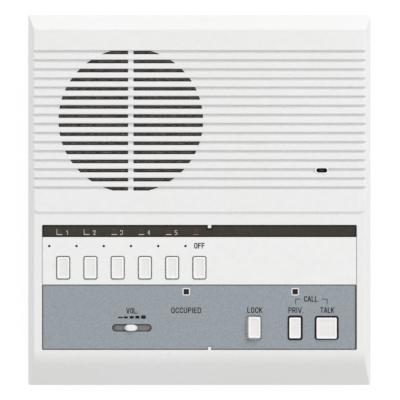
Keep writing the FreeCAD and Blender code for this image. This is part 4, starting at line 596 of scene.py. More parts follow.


# widths of the painted shadow line along each side of the control plate
SHADOW_LINE_LEFT, SHADOW_LINE_RIGHT, SHADOW_LINE_BOTTOM, SHADOW_LINE_TOP = 0.25 * MM, 0.65 * MM, 0.2 * MM, 0.18 * MM
SHADOW_LINE_FADE = 0.2 * MM


def near_border(tree, low, high):
    """1 where a painted shadow line runs along the plate's border and 0 further in, from each side's own
    width of line.
    """
    x, y = coordinate(tree, "X"), coordinate(tree, "Y")
    sides = [(x, low.x, SHADOW_LINE_LEFT), (high.x, x, SHADOW_LINE_RIGHT), (y, low.y, SHADOW_LINE_BOTTOM), (high.y, y, SHADOW_LINE_TOP)]
    near = 0.0
    for further, nearer, width in sides:
        inward = maths(tree, "SUBTRACT", further, nearer)
        near = maths(tree, "MAXIMUM", spread(tree, inward, 1.0, 0.0, width, width + SHADOW_LINE_FADE), near)
    return near


def control_paint():
    """Blue-grey textured paint: drifting ground, pale and dark specks, a fine relief and a painted shadow at
    its edges.
    """
    made, tree, sockets = finish("control_paint")
    height = grain_height(tree, 0.5 * MM)
    relief(tree, sockets, height, 0.05 * MM, edge_radius=0.2 * MM)
    # painted shadow round the edges of the plate and of its openings, where they meet the gaps
    outline = place(tree, soft_edges, {"Radius": 0.75 * MM})["Edge"]
    ground = drifted(tree, (0.293, 0.328, 0.358, 1), 0.9 * MM, 0.10, 0.12)
    pale = speck_mask(tree, 1.0 * MM, 0.35)
    dark = speck_mask(tree, 1.2 * MM, 0.35)
    lighter = touched(tree, pale, 0.46, ground, (0.44, 0.48, 0.51, 1))
    darker = touched(tree, dark, 0.52, lighter, (0.15, 0.175, 0.20, 1))
    edge = maths(tree, "MAXIMUM", outline, near_border(tree, *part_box("control_plate")))
    # painted shadow: the edges are mixed towards near black
    outlined = mixed(tree, edge, darker, (0.03, 0.032, 0.034, 1))
    return fed(made, outlined, spread(tree, height, 0.48, 0.62))


for make in (smoked_window, name_card, control_paint):
    finishes[make.__name__] = make()
print("panel finishes ready")

# %% [markdown]
# The key caps are off-white with a semi-gloss skin. Their raised rims carry a painted highlight, while
# the dished middles, where fingers press, keep the plain white with greyer smudges of handling and are
# smoother. The caps are made here as meshes, so the share of painted rim highlight is an attribute of
# their points, worked out with their shape, and the finish reads it. The knob of the volume slide is
# the same white, polished by use.

# %% Finishes: keys and knob
# the attribute that holds each point's share of painted rim highlight
HIGHLIGHT_ATTRIBUTE = "rim_highlight"
KEY_RIM_HIGHLIGHT = (0.94, 0.94, 0.93, 1)
KEY_MIDDLE = (0.83, 0.82, 0.81, 1)


def key_plastic():
    """Rims painted brighter as a highlight, and smoother middles with greyer smudges of handling."""
    made, tree, sockets = finish("key_plastic")
    rim_highlight = node(tree, "ShaderNodeAttribute", attribute_name=HIGHLIGHT_ATTRIBUTE).outputs["Fac"]
    height = grain_height(tree, 0.35 * MM)
    relief(tree, sockets, height, 0.012 * MM, edge_radius=0.1 * MM)
    smudges = spread(tree, noise(tree, object_place(tree), 420.0, 4.0, 0.6), 0.0, 0.5, 0.4, 0.75)
    handled = mixed(tree, smudges, KEY_MIDDLE, (0.785, 0.78, 0.79, 1))
    # painted highlight: the rims are mixed towards a brighter white than the plain middles
    both = mixed(tree, rim_highlight, handled, KEY_RIM_HIGHLIGHT)
    polished = spread(tree, smudges, 0.30, 0.22, 0.0, 0.5)
    satin = spread(tree, rim_highlight, 0.0, 0.12)
    return fed(made, drifted(tree, both, 6.0 * MM, 0.015), maths(tree, "ADD", polished, satin))


def knob_plastic():
    """White, polished by use, with its edges rubbed a little brighter."""
    made, tree, sockets = finish("knob_plastic")
    height = grain_height(tree, 0.3 * MM)
    edge = relief(tree, sockets, height, 0.01 * MM, edge_radius=0.1 * MM)
    ground = drifted(tree, (0.86, 0.86, 0.85, 1), 3.0 * MM, 0.03)
    rubbed = touched(tree, edge, 0.4, ground, (0.92, 0.92, 0.91, 1))
    return fed(made, rubbed, spread(tree, height, 0.22, 0.34))


for make in (key_plastic, knob_plastic):
    finishes[make.__name__] = make()
print("key finishes ready")

# %% [markdown]
# Screws, brackets, springs and the capsule are metal, seen as reflections with a slight tint. Their
# character is in the roughness: lines from drawing or turning, and dull stains where the plating has
# aged. Again one recipe and a table.

# %% Finishes: metals
def plated(name, colour, roughness, stretch, stain=(0.25, 0.23, 0.20)):
    """Metal with lines along one direction, brighter worn edges, and stains that are dull and darker."""
    made, tree, sockets = finish(name, Metallic=1.0)
    lines = streak_lines(tree, stretch)
    edge = relief(tree, sockets, lines, 0.008 * MM, edge_radius=0.2 * MM)
    cloud = noise(tree, object_place(tree), 300.0, 5.0, 0.6)
    dull = spread(tree, cloud, 0.0, 0.3, 0.5, 0.7)
    ground = drifted(tree, (*colour, 1), 5.0 * MM, 0.08)
    aged = mixed(tree, dull, ground, (*stain, 1))
    rubbed = touched(tree, edge, 0.5, aged, brighter(colour, 1.25))
    rough = spread(tree, lines, roughness - 0.08, roughness + 0.10)
    return fed(made, rubbed, maths(tree, "ADD", rough, maths(tree, "MULTIPLY", dull, 0.4)))


ROUND_LINES = (3000.0, 3000.0, 500.0)
LONG_LINES = (120.0, 4000.0, 4000.0)
METALS = {  # colour, roughness, stretch of the lines, and for some the stain
    "screw_steel": ((0.60, 0.60, 0.58), 0.35, ROUND_LINES),
    "plated_steel": ((0.62, 0.58, 0.44), 0.38, LONG_LINES, (0.35, 0.28, 0.16)),
    "latch_steel": ((0.62, 0.62, 0.60), 0.28, LONG_LINES),
    "spring_steel": ((0.64, 0.64, 0.64), 0.25, (2500.0, 2500.0, 2500.0)),
    "terminal_brass": ((0.70, 0.52, 0.24), 0.30, ROUND_LINES, (0.28, 0.20, 0.10)),
}
finishes.update({name: plated(name, *row) for name, row in METALS.items()})
print(len(METALS), "metal finishes")

# %% [markdown]
# The microphone capsule is a drawn can whose front is black felt, with a grey glint painted about its
# middle. The front faces up, so the normal tells it from the can.

# %% Finish: microphone capsule
# half sizes of the oval of painted glint on the felt
FELT_GLINT_REACH = (2.2 * MM, 0.55 * MM)


def capsule_metal():
    """Bright can, black felt on the face that looks up, and a painted grey glint within an oval about its
    middle.
    """
    made, tree, sockets = finish("capsule_metal")
    lines = streak_lines(tree, ROUND_LINES)
    relief(tree, sockets, lines, 0.02 * MM, edge_radius=0.2 * MM)
    felted = maths(tree, "GREATER_THAN", facing(tree, "Z"), 0.5)
    low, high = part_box("microphone_capsule")
    middle = ((low.x + high.x) / 2, (low.y + high.y) / 2, high.z)
    from_middle = vector_maths(tree, "SUBTRACT", object_place(tree), middle)
    reach = (1 / FELT_GLINT_REACH[0], 1 / FELT_GLINT_REACH[1], 0.0)
    oval = vector_maths(tree, "MULTIPLY", from_middle, reach)
    # painted glint: the felt turns greyer towards the middle of the oval
    painted_glint = spread(tree, vector_maths(tree, "LENGTH", oval), 1.0, 0.0, 0.3, 1.0)
    felt = mixed(tree, painted_glint, (0.006, 0.006, 0.006, 1), (0.16, 0.16, 0.16, 1))
    both = mixed(tree, felted, (0.66, 0.66, 0.65, 1), felt)
    bare = maths(tree, "SUBTRACT", 1.0, felted)
    return fed(made, both, spread(tree, felted, 0.3, 0.95), bare)


finishes["capsule_metal"] = capsule_metal()
print("capsule finish ready")

# %% [markdown]
# Rubber is dark, dull and a little chalky where it has dried. Feet, boot and sleeves share it.

# %% Finishes: rubbers
def rubber(name, colour, chalk):
    """Dull black with chalky patches and a soft moulded skin."""
    made, tree, sockets = finish(name)
    height = grain_height(tree, 0.8 * MM)
    edge = relief(tree, sockets, height, 0.05 * MM, edge_radius=0.4 * MM)
    dried = spread(tree, noise(tree, object_place(tree), 180.0, 5.0, 0.6), 0.0, chalk, 0.45, 0.75)
    ground = mixed(tree, dried, (*colour, 1), (0.10, 0.098, 0.094, 1))
    rubbed = touched(tree, edge, 0.4, ground, (0.06, 0.06, 0.06, 1))
    return fed(made, rubbed, spread(tree, height, 0.68, 0.85))


finishes["foot_rubber"] = rubber("foot_rubber", (0.012, 0.012, 0.012), 0.5)
finishes["boot_rubber"] = rubber("boot_rubber", (0.010, 0.010, 0.010), 0.25)
print("rubber finishes ready")

# %% [markdown]
# The cone and dust cap are pressed paper pulp, the tag strip a hard fibre card, and the transformer is
# wound in tape. Paper is felted from fibres, which show as a fine crossed streaking and a soft relief,
# and so does the felt of the washers under two of the keys.

# %% Finishes: papers
def paper(name, colour, fibre_colour, roughness=0.85):
    """Felted fibres in two directions, lighter than the pulp between them."""
    made, tree, sockets = finish(name)
    across = streak_lines(tree, (420.0, 2600.0, 900.0))
    along = streak_lines(tree, (2600.0, 420.0, 900.0))
    fibres = maths(tree, "MULTIPLY", maths(tree, "ADD", across, along), 0.5)
    relief(tree, sockets, fibres, 0.06 * MM)
    ground = drifted(tree, (*colour, 1), 9.0 * MM, 0.15)
    bare_fibres = spread(tree, fibres, 0.0, 0.7, 0.4, 0.9)
    painted = mixed(tree, bare_fibres, ground, (*fibre_colour, 1))
    return fed(made, painted, spread(tree, fibres, roughness - 0.1, roughness + 0.05))


finishes["cone_paper"] = paper("cone_paper", (0.012, 0.011, 0.010), (0.045, 0.040, 0.035))
finishes["dust_cap_paper"] = paper("dust_cap_paper", (0.018, 0.015, 0.012), (0.06, 0.05, 0.04))
finishes["tag_card"] = paper("tag_card", (0.13, 0.06, 0.022), (0.20, 0.10, 0.045), 0.6)
# dark felt for the washers, which stands in for the shade in the gaps round two keys
finishes["gap_shade_felt"] = paper("gap_shade_felt", (0.055, 0.042, 0.037), (0.12, 0.095, 0.085))
print("paper finishes ready")

# %% [markdown]
# The grille cloth is coarse brown-black yarn. Its weave is modelled in the piece itself, so the finish
# only adds what is finer: slubs of lighter brown along the yarns that run across, and fibre fuzz. The
# slubs are painted strongest along the middle of each slot as painted light, and fade towards the
# slot's edges as painted shade under the cover's walls.

# %% Finish: speaker cloth
LOUVRE_PITCH = 5.19 * MM
SLOT_SHIFT = 0.15 * MM  # how far the slots lie towards the keys from the middle of their grooves


def speaker_cloth():
    """Dark yarn with lighter brown slubs running across, painted strongest in the middle of each slot as
    light and fading into painted shade at its edges, and a fuzz of fibres.
    """
    made, tree, sockets = finish("speaker_cloth", Sheen_Weight=0.35, Sheen_Roughness=0.5)
    low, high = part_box("speaker_cloth")
    middle_y = (low.y + high.y) / 2 - SLOT_SHIFT
    # painted light and shade: high along the middle of each slot, low towards its edges
    from_rib = maths(tree, "DIVIDE", maths(tree, "SUBTRACT", coordinate(tree, "Y"), middle_y), LOUVRE_PITCH)
    slot_light = spread(tree, maths(tree, "PINGPONG", from_rib, 0.5), 0.15, 1.0, 0.40, 0.48)
    slubs = streak_lines(tree, (400.0, 2700.0, 300.0))
    fuzz = streak_lines(tree, (5200.0, 6400.0, 5200.0))
    relief(tree, sockets, fuzz, 0.04 * MM, edge_radius=0.05 * MM)
    pale = maths(tree, "MULTIPLY", spread(tree, slubs, 0.0, 1.0, 0.25, 0.8), slot_light)
    yarn = mixed(tree, pale, (0.034, 0.029, 0.027, 1), (0.32, 0.275, 0.255, 1))
    fuzzy = touched(tree, fuzz, 0.3, yarn, (0.10, 0.08, 0.07, 1))
    return fed(made, fuzzy, spread(tree, fuzz, 0.75, 0.92))


finishes["speaker_cloth"] = speaker_cloth()
print("cloth finish ready")

# %% [markdown]
# The lamps sit behind dark red lenses, whose ribs were cut into the tool, and the bulbs are clear
# glass. Unlit, the lenses show only as a dull wine-red glint in the smoked window.

# %% Finishes: lamps
LENS_RIB_PITCH = 0.5 * MM
LENS_ROW_ROOM = 1 * MM  # above the indicator lenses, which are the lower row


def lamp_lens():
    """Dull wine red with fine ribs, nearly black on the lenses below the name plate."""
    made, tree, sockets = finish("lamp_lens", Specular_IOR_Level=0.25)
    ribs = band_ridge(tree, 1 / LENS_RIB_PITCH, 0.0, 0.0)
    relief(tree, sockets, ribs, 0.03 * MM, edge_radius=0.1 * MM)
    ground = mixed(tree, ribs, (0.046, 0.028, 0.025, 1), (0.070, 0.040, 0.036, 1))
    row_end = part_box("indicator_lenses")[1].y + LENS_ROW_ROOM
    lower_row = maths(tree, "LESS_THAN", coordinate(tree, "Y"), row_end)
    darkened = mixed(tree, lower_row, ground, (0.017, 0.009, 0.009, 1))
    drifting = drifted(tree, darkened, 1.5 * MM, 0.12)
    return fed(made, drifting, spread(tree, ribs, 0.35, 0.45))


def lamp_glass():
    """Clear blown glass with a slight waviness and a breath of grey on it."""
    made, tree, sockets = finish("lamp_glass", Transmission_Weight=0.85, IOR=1.5)
    wavy = noise(tree, object_place(tree), 700.0, 2.0)
    relief(tree, sockets, wavy, 0.02 * MM, edge_radius=0.1 * MM)
    painted = mixed(tree, wavy, (0.86, 0.86, 0.84, 1), (0.97, 0.97, 0.95, 1))
    return fed(made, painted, spread(tree, wavy, 0.03, 0.12))


for make in (lamp_lens, lamp_glass):
    finishes[make.__name__] = make()
print("lamp finishes ready")

# %% [markdown]
# Inside are two brown laminate boards with copper tracks on the solder side, a ferrite magnet, a
# laminated iron core, a taped coil, sleeved capacitors and flat ribbon. A board's two faces differ, so
# its finish asks which way the surface looks: down is the solder side.

# %% Finishes: boards and windings
SHEET_PITCH = 0.5 * MM
TAPE_PITCH = 3.2 * MM
WIRE_PITCH = 0.4 * MM
CORE_PITCH = 1.27 * MM


def circuit_board():
    """Brown laminate with faint weave; the face that looks down has bright tracks and solder dots."""
    made, tree, sockets = finish("circuit_board")
    fibres = streak_lines(tree, (300.0, 1800.0, 300.0))
    relief(tree, sockets, fibres, 0.01 * MM, edge_radius=0.15 * MM)
    laminate = mixed(tree, fibres, (0.115, 0.060, 0.022, 1), (0.155, 0.085, 0.034, 1))
    solder_side = maths(tree, "LESS_THAN", facing(tree, "Z"), -0.5)
    inputs = {"Vector": object_place(tree), "Scale": 190.0}
    blocks = node(tree, "ShaderNodeTexVoronoi", inputs, distance="MANHATTAN", feature="F1").outputs
    tracks = maths(tree, "LESS_THAN", maths(tree, "PINGPONG", blocks["Distance"], 0.16), 0.085)
    copper = maths(tree, "MULTIPLY", tracks, solder_side)
    both = mixed(tree, copper, laminate, (0.55, 0.50, 0.40, 1))
    return fed(made, both, spread(tree, fibres, 0.35, 0.5), maths(tree, "MULTIPLY", copper, 0.9))


def magnet_ferrite():
    """Grey-black sintered ferrite, faintly sparkling where grains broke."""
    made, tree, sockets = finish("magnet_ferrite")
    height = grain_height(tree, 0.9 * MM)
    edge = relief(tree, sockets, height, 0.08 * MM, edge_radius=0.3 * MM)
    sparks = speck_mask(tree, 0.7 * MM, 0.3)
    ground = mixed(tree, sparks, (0.018, 0.018, 0.020, 1), (0.07, 0.07, 0.075, 1))
    chipped = touched(tree, edge, 0.6, ground, (0.09, 0.09, 0.095, 1))
    return fed(made, chipped, spread(tree, height, 0.5, 0.7))


def core_iron():
    """Stacked laminations under varnish, with rust starting between them."""
    made, tree, sockets = finish("core_iron", Coat_Weight=0.3, Coat_Roughness=0.3)
    sheets = band_ridge(tree, 0.0, 1 / SHEET_PITCH, 0.0)
    relief(tree, sockets, sheets, 0.08 * MM, edge_radius=0.2 * MM)
    rust = spread(tree, noise(tree, object_place(tree), 350.0, 5.0, 0.7), 0.0, 0.7, 0.5, 0.7)
    iron = mixed(tree, sheets, (0.02, 0.02, 0.02, 1), (0.12, 0.12, 0.125, 1))
    return fed(made, mixed(tree, rust, iron, (0.13, 0.045, 0.018, 1)), spread(tree, sheets, 0.6, 0.4))


def coil_tape():
    """Turns of yellow polyester tape, each lapping the next, over the ridges of the wire below."""
    made, tree, sockets = finish("coil_tape", Coat_Weight=0.2, Coat_Roughness=0.2)
    turns = band_ridge(tree, 0.0, 0.0, 1 / TAPE_PITCH)
    wires = band_ridge(tree, 0.0, 0.0, 1 / WIRE_PITCH)
    lap = spread(tree, turns, 0.0, 1.0, 0.0, 0.12)
    height = maths(tree, "ADD", lap, maths(tree, "MULTIPLY", wires, 0.25))
    relief(tree, sockets, height, 0.06 * MM, edge_radius=0.4 * MM)
    tape = mixed(tree, lap, (0.30, 0.20, 0.03, 1), (0.58, 0.43, 0.08, 1))
    drifting = drifted(tree, tape, 4.0 * MM, 0.1)
    return fed(made, drifting, spread(tree, wires, 0.3, 0.4))


def capacitor_sleeve():
    """Dark blue shrink sleeve, glossy, with the pale stripe of the marked pin."""
    made, tree, sockets = finish("capacitor_sleeve", Coat_Weight=0.2, Coat_Roughness=0.15)
    height = grain_height(tree, 1.4 * MM)
    relief(tree, sockets, height, 0.04 * MM, edge_radius=0.5 * MM)
    striped = maths(tree, "GREATER_THAN", facing(tree, "X"), 0.86)
    ground = drifted(tree, (0.010, 0.022, 0.075, 1), 4.0 * MM, 0.12)
    return fed(made, mixed(tree, striped, ground, (0.45, 0.47, 0.50, 1)), spread(tree, height, 0.25, 0.38))


def ribbon_sheath():
    """Grey flat cable: a ridge for each core, the first one marked."""
    made, tree, sockets = finish("ribbon_sheath")
    cores = band_ridge(tree, 1 / CORE_PITCH, 0.0, 0.0)
    relief(tree, sockets, cores, 0.3 * MM, edge_radius=0.2 * MM)
    first_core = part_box("board_ribbon")[0].x + CORE_PITCH
    marked = maths(tree, "LESS_THAN", coordinate(tree, "X"), first_core)
    ground = mixed(tree, cores, (0.14, 0.14, 0.145, 1), (0.28, 0.28, 0.285, 1))
    return fed(made, mixed(tree, marked, ground, (0.30, 0.03, 0.03, 1)), spread(tree, cores, 0.55, 0.42))


for make in (circuit_board, magnet_ferrite, core_iron, coil_tape, capacitor_sleeve, ribbon_sheath):
    finishes[make.__name__] = make()
print(len(finishes), "finishes in all")

# %% [markdown]
# The words and marks are screen prints: a film of ink with soft gloss and a slightly broken edge. Dark
# grey ink on the pale plates, off-white on the smoked window, and a dim red one for the last lamp.

# %% Finishes: inks
def ink(name, colour, thin_colour):
    """A printed film whose density varies a little, as from a mesh."""
    made, tree, sockets = finish(name, Specular_IOR_Level=0.2)
    mesh_marks = speck_mask(tree, 0.22 * MM, 0.6)
    relief(tree, sockets, mesh_marks, 0.004 * MM, edge_radius=0.03 * MM)
    painted = mixed(tree, mesh_marks, (*colour, 1), (*thin_colour, 1))
    return fed(made, painted, spread(tree, mesh_marks, 0.35, 0.5))


INKS = {  # colour, and colour where the film is thin
    "ink_grey": ((0.014, 0.015, 0.016), (0.026, 0.027, 0.029)),
    "ink_black": ((0.005, 0.005, 0.005), (0.01, 0.01, 0.01)),
    "ink_white": ((0.62, 0.61, 0.58), (0.50, 0.49, 0.46)),
    "ink_dim_red": ((0.27, 0.20, 0.19), (0.20, 0.15, 0.14)),
}
finishes.update({name: ink(name, *row) for name, row in INKS.items()})
print(len(INKS), "inks")

# %% [markdown]
# Now each node of the frame takes the finish of its slot. Only the material slots of the object are
# touched, so the frame stays as it was packed.

# %% Dress the frame
for node_name, part in frame["nodes"].items():
    part.data.materials.clear()
    part.data.materials.append(finishes[slot_of[node_name]])
print("dressed", len(frame["nodes"]), "nodes")

# %% [markdown]
# New pieces are surfaces on a grid. Rings of points are stacked from one end to the other, and quads
# join each ring to the next. A ring that runs counter-clockwise seen from the end that it moves
# towards gives faces that look outwards. The two ends are closed by a fan round their middle, or the
# last ring joins the first, as on a hoop.

# %% Surfaces from rings
ROUND_STEPS = 7  # points over a quarter round


def ring_faces(rings, around, closed):
    """Quads between neighbouring rings; with closed the last ring also joins the first."""
    index = np.arange(rings * around).reshape(rings, around)
    after = np.roll(index, -1, axis=1)
    top, top_after = np.roll(index, -1, axis=0), np.roll(after, -1, axis=0)
    quads = np.stack([index, after, top_after, top], axis=-1)
    return (quads if closed else quads[:-1]).reshape(-1, 4)


def ring_surface(rings, closed=False):
    """Points and faces of stacked rings, an array of rings by points by 3, with fans on open ends."""
    count, around = rings.shape[:2]
    points = rings.reshape(-1, 3)
    faces = ring_faces(count, around, closed).tolist()
    if not closed:
        points = np.vstack([points, rings[0].mean(axis=0), rings[-1].mean(axis=0)])
        here = np.arange(around)
        after = np.roll(here, -1)
        first, last = count * around, count * around + 1
        top = here + (count - 1) * around
        top_after = after + (count - 1) * around
        faces += np.stack([np.full(around, first), after, here], axis=-1).tolist()
        faces += np.stack([np.full(around, last), top, top_after], axis=-1).tolist()
    return points, faces


def rounded_rings(half_x, half_y, corner, z, centre=(0.0, 0.0), per_corner=8):
    """Rings round rectangles with round corners, one for each height z. A corner is a quarter circle of
    radius corner about a point that is set in from both sides by corner."""
    half_x, half_y, corner, z = np.broadcast_arrays(*map(np.atleast_1d, (half_x, half_y, corner, z)))
    quarter = np.linspace(0, math.pi / 2, per_corner)
    turn = (quarter + np.arange(4)[:, None] * math.pi / 2).ravel()
    side_x = np.repeat([1, -1, -1, 1], per_corner)
    side_y = np.repeat([1, 1, -1, -1], per_corner)
    x = centre[0] + side_x * (half_x - corner)[:, None] + corner[:, None] * np.cos(turn)
    y = centre[1] + side_y * (half_y - corner)[:, None] + corner[:, None] * np.sin(turn)
    return np.stack([x, y, np.broadcast_to(z[:, None], x.shape)], axis=-1)


def joined(surfaces):
    """Several surfaces as one list of points and one of faces."""
    points, faces, count = [], [], 0
    for some_points, some_faces in surfaces:
        points.append(np.asarray(some_points))
        faces += [[corner + count for corner in face] for face in some_faces]
        count += len(some_points)
    return np.vstack(points), faces


def box_middle(node_name):
    """The x and y of the middle of a node's box."""
    low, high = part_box(node_name)
    return (low.x + high.x) / 2, (low.y + high.y) / 2


def box_half(node_name):
    """Half of a node's box in x and y."""
    low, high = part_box(node_name)
    return (high.x - low.x) / 2, (high.y - low.y) / 2


def make_piece(name, surface, body, finish_name, stands_for=(), sharp=35.0):
    """A mesh object at the origin that rides on a body, shaded smooth below the sharp angle in degrees,
    in place of the nodes that it stands for."""
    points, faces = surface
    mesh = bpy.data.meshes.new(name)
    mesh.from_pydata(points.tolist(), [], faces)
    mesh.shade_smooth()
    mesh.set_sharp_from_angle(angle=math.radians(sharp))
    mesh.materials.append(finishes[finish_name])
    made = bpy.data.objects.new(name, mesh)
    scene.collection.objects.link(made)
    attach(made, body)
    if stands_for:
        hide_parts(*stands_for)
    return made


print("surface helpers ready")

# %% [markdown]
# A key is one moulding: a square stem with a round socket for the plunger, a flange that stops the key
# under the cover, and a cap with softly rounded edges and a dished top. All of these are rounded
# rectangles stacked in order, so one list of half widths, corners and heights describes the whole key,
# and one call lofts it. The frame gives where each key stands, its height and its flange, and a table
# gives each cap's size. On a used key the stem has play in its guide, so each function key leans its
# own way.

# %% Key caps
KEY_BODIES = [f"station_{number}" for number in range(1, 6)] + ["off", "lock", "private", "talk"]
CAP_SIZES = {
    "lock": (6.75 * MM, 12.0 * MM),
    "private": (6.45 * MM, 11.8 * MM),
    "talk": (11.5 * MM, 11.9 * MM),
}
CAP_LEANS = {
    "lock": (0.52 * MM, 0.2 * MM),
    "private": (-0.13 * MM, -0.07 * MM),
    "talk": (0.0, -0.25 * MM),
}
STATION_CAP = (6.78 * MM, 12.18 * MM)
UPRIGHT = (0.0, 0.0)
KEY_FLANGE_LOW = 4.8 * MM  # above the stem's foot
KEY_FLANGE_THICKNESS = 1.0 * MM
KEY_STEM_HALF = 2.7 * MM
KEY_SOCKET_RADIUS = 1.52 * MM
KEY_SOCKET_DEPTH = 4.0 * MM
CAP_CORNER = 0.7 * MM
CAP_EDGE_ROUND = 0.35 * MM
CAP_DISH_DEPTH = 0.30 * MM
DISH_START, DISH_FALL = 0.7 * MM, 1.1 * MM  # where the dish begins and how far it takes to reach its depth
CAP_TOP_RINGS = (0.45, 1.8, 10)  # mm in from the side, from the first to the last, and how many
CAP_INNER_RING = 2.4 * MM
CAP_MIDDLE = 0.3 * MM  # half of the flat at the middle
RIM_WIDTH = 0.85 * MM
RIM_FADE = 0.35 * MM
LEAST_CORNER = 0.12 * MM
SHARP_SUPPORT = 0.03 * MM  # a ring this close to a crease keeps the shading of the flat beside it flat


def node_of(body, part):
    """The node of a key's body for one part, such as station_key_1 or off_key."""
    kind, *number = body.split("_")
    return "_".join([kind, part, *number])


def smooth_step(value):
    """0 below 0, 1 above 1, and three squares minus two cubes between them."""
    held = np.clip(value, 0, 1)
    return held * held * (3 - 2 * held)


def key_surface(node_name, cap_size, lean):
    """Rings from the socket's roof down to the foot, up the stem, flange and cap, and in over the dish.
    The cap leans evenly with its height. Returns the rings and each ring's share of painted rim highlight."""
    low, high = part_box(node_name)
    flange = box_half(node_name)
    cap = np.array(cap_size) / 2
    socket_roof = low.z + KEY_SOCKET_DEPTH
    flange_low = low.z + KEY_FLANGE_LOW
    flange_high = flange_low + KEY_FLANGE_THICKNESS
    turn = np.linspace(0, math.pi / 2, ROUND_STEPS)
    round_inset = CAP_EDGE_ROUND * (1 - np.cos(turn))
    round_rise = high.z - CAP_EDGE_ROUND + CAP_EDGE_ROUND * np.sin(turn)
    top_inset = np.concatenate([np.linspace(*CAP_TOP_RINGS) * MM, [CAP_INNER_RING, cap.min() - CAP_MIDDLE]])
    dish = smooth_step((top_inset - DISH_START) / DISH_FALL) * CAP_DISH_DEPTH
    inset = np.concatenate([round_inset, top_inset])
    cap_z = np.concatenate([round_rise, high.z - dish])
    cap_x, cap_y = cap[0] - inset, cap[1] - inset
    cap_corner = np.maximum(CAP_CORNER - inset, LEAST_CORNER)
    below = [
        (KEY_SOCKET_RADIUS, KEY_SOCKET_RADIUS, KEY_SOCKET_RADIUS, socket_roof),
        (KEY_SOCKET_RADIUS, KEY_SOCKET_RADIUS, KEY_SOCKET_RADIUS, low.z),
        (KEY_STEM_HALF, KEY_STEM_HALF, LEAST_CORNER, low.z),
        (KEY_STEM_HALF, KEY_STEM_HALF, LEAST_CORNER, flange_low),
        (flange[0], flange[1], CAP_CORNER, flange_low),
        (flange[0], flange[1], CAP_CORNER, flange_high),
        (cap[0], cap[1], CAP_CORNER, flange_high),
        (cap[0], cap[1], CAP_CORNER, high.z - CAP_EDGE_ROUND - SHARP_SUPPORT),
    ]
    rows = np.vstack([below, np.column_stack([cap_x, cap_y, cap_corner, cap_z])])
    rings = rounded_rings(*rows.T, box_middle(node_name))
    height_share = np.clip((rings[..., 2] - flange_high) / (high.z - flange_high), 0, 1)
    rings[..., :2] += height_share[..., None] * np.array(lean)
    # painted highlight: 1 over the rim, fading out towards the dish
    rim_highlight = 1 - smooth_step((inset - RIM_WIDTH) / RIM_FADE + 0.5)
    return rings, np.concatenate([np.ones(len(below)), rim_highlight])


def make_key(body):
    """One key in the place of its node, with its share of painted rim highlight stored on its points."""
    node_name = node_of(body, "key")
    rings, rim_highlight = key_surface(node_name, CAP_SIZES.get(body, STATION_CAP), CAP_LEANS.get(body, UPRIGHT))
    made = make_piece(f"{node_name}_cap", ring_surface(rings), body, "key_plastic", [node_name])
    values = np.append(np.repeat(rim_highlight, rings.shape[1]), [1.0, 0.0]).astype(np.float32)
    made.data.attributes.new(HIGHLIGHT_ATTRIBUTE, "FLOAT", "POINT").data.foreach_set("value", values)
    return made


for body in KEY_BODIES:
    key = make_key(body)
print(len(KEY_BODIES), "keys of", len(key.data.polygons), "faces")

# %% [markdown]
# A dark felt washer lies on the flange of the private and talk keys. It fills the narrow room under the
# cover, and its dark felt stands in for the shade in the gap round these caps.

# %% Key washers
WASHER_THICKNESS = 0.3 * MM
WASHER_REACH = 0.05 * MM  # room to the cap on the inside and to the edge of the flange outside


def washer_surface(node_name, cap_size):
    """A flat frame: down inside, out below, up outside and in above, the last ring joined to the first."""
    inner = np.array(cap_size) / 2 + WASHER_REACH
    outer = np.array(box_half(node_name)) - WASHER_REACH
    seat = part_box(node_name)[0].z + KEY_FLANGE_LOW + KEY_FLANGE_THICKNESS
    rows = [
        (*inner, seat + WASHER_THICKNESS),
        (*inner, seat),
        (*outer, seat),
        (*outer, seat + WASHER_THICKNESS),
    ]
    half_x, half_y, z = np.array(rows).T
    rings = rounded_rings(half_x, half_y, CAP_CORNER, z, box_middle(node_name))
    return ring_surface(rings, closed=True)


for body in ("private", "talk"):
    surface = washer_surface(f"{body}_key", CAP_SIZES[body])
    # the washer is a dark sheet that paints the shade in the gap round its cap
    washer = make_piece(f"{body}_washer", surface, body, "gap_shade_felt")
print("washers of", len(washer.data.polygons), "faces")

# %% [markdown]
# The volume knob is a small oval that a fingertip pushes from side to side. Its outline bulges in the
# middle and narrows to both ends, which slope down, and five low ridges across the top give grip. Its
# top is a height over the oval, so rings of one outline, scaled down step by step, carry it.

# %% Volume knob
KNOB_POWER = 2.5  # 2 is an ellipse, more is squarer
KNOB_END_DROP = 1.5 * MM
KNOB_FLAT_SHARE = 0.52
KNOB_EDGE_ROUND = 0.55 * MM
KNOB_RIDGE_PITCH = 0.9 * MM
KNOB_RIDGE_HEIGHT = 0.12 * MM
KNOB_RIDGE_REACH = 2.3 * MM
KNOB_LEAST_SCALE = 0.04  # the innermost ring against the outline
KNOB_AROUND, KNOB_TOP_RINGS = 96, 16


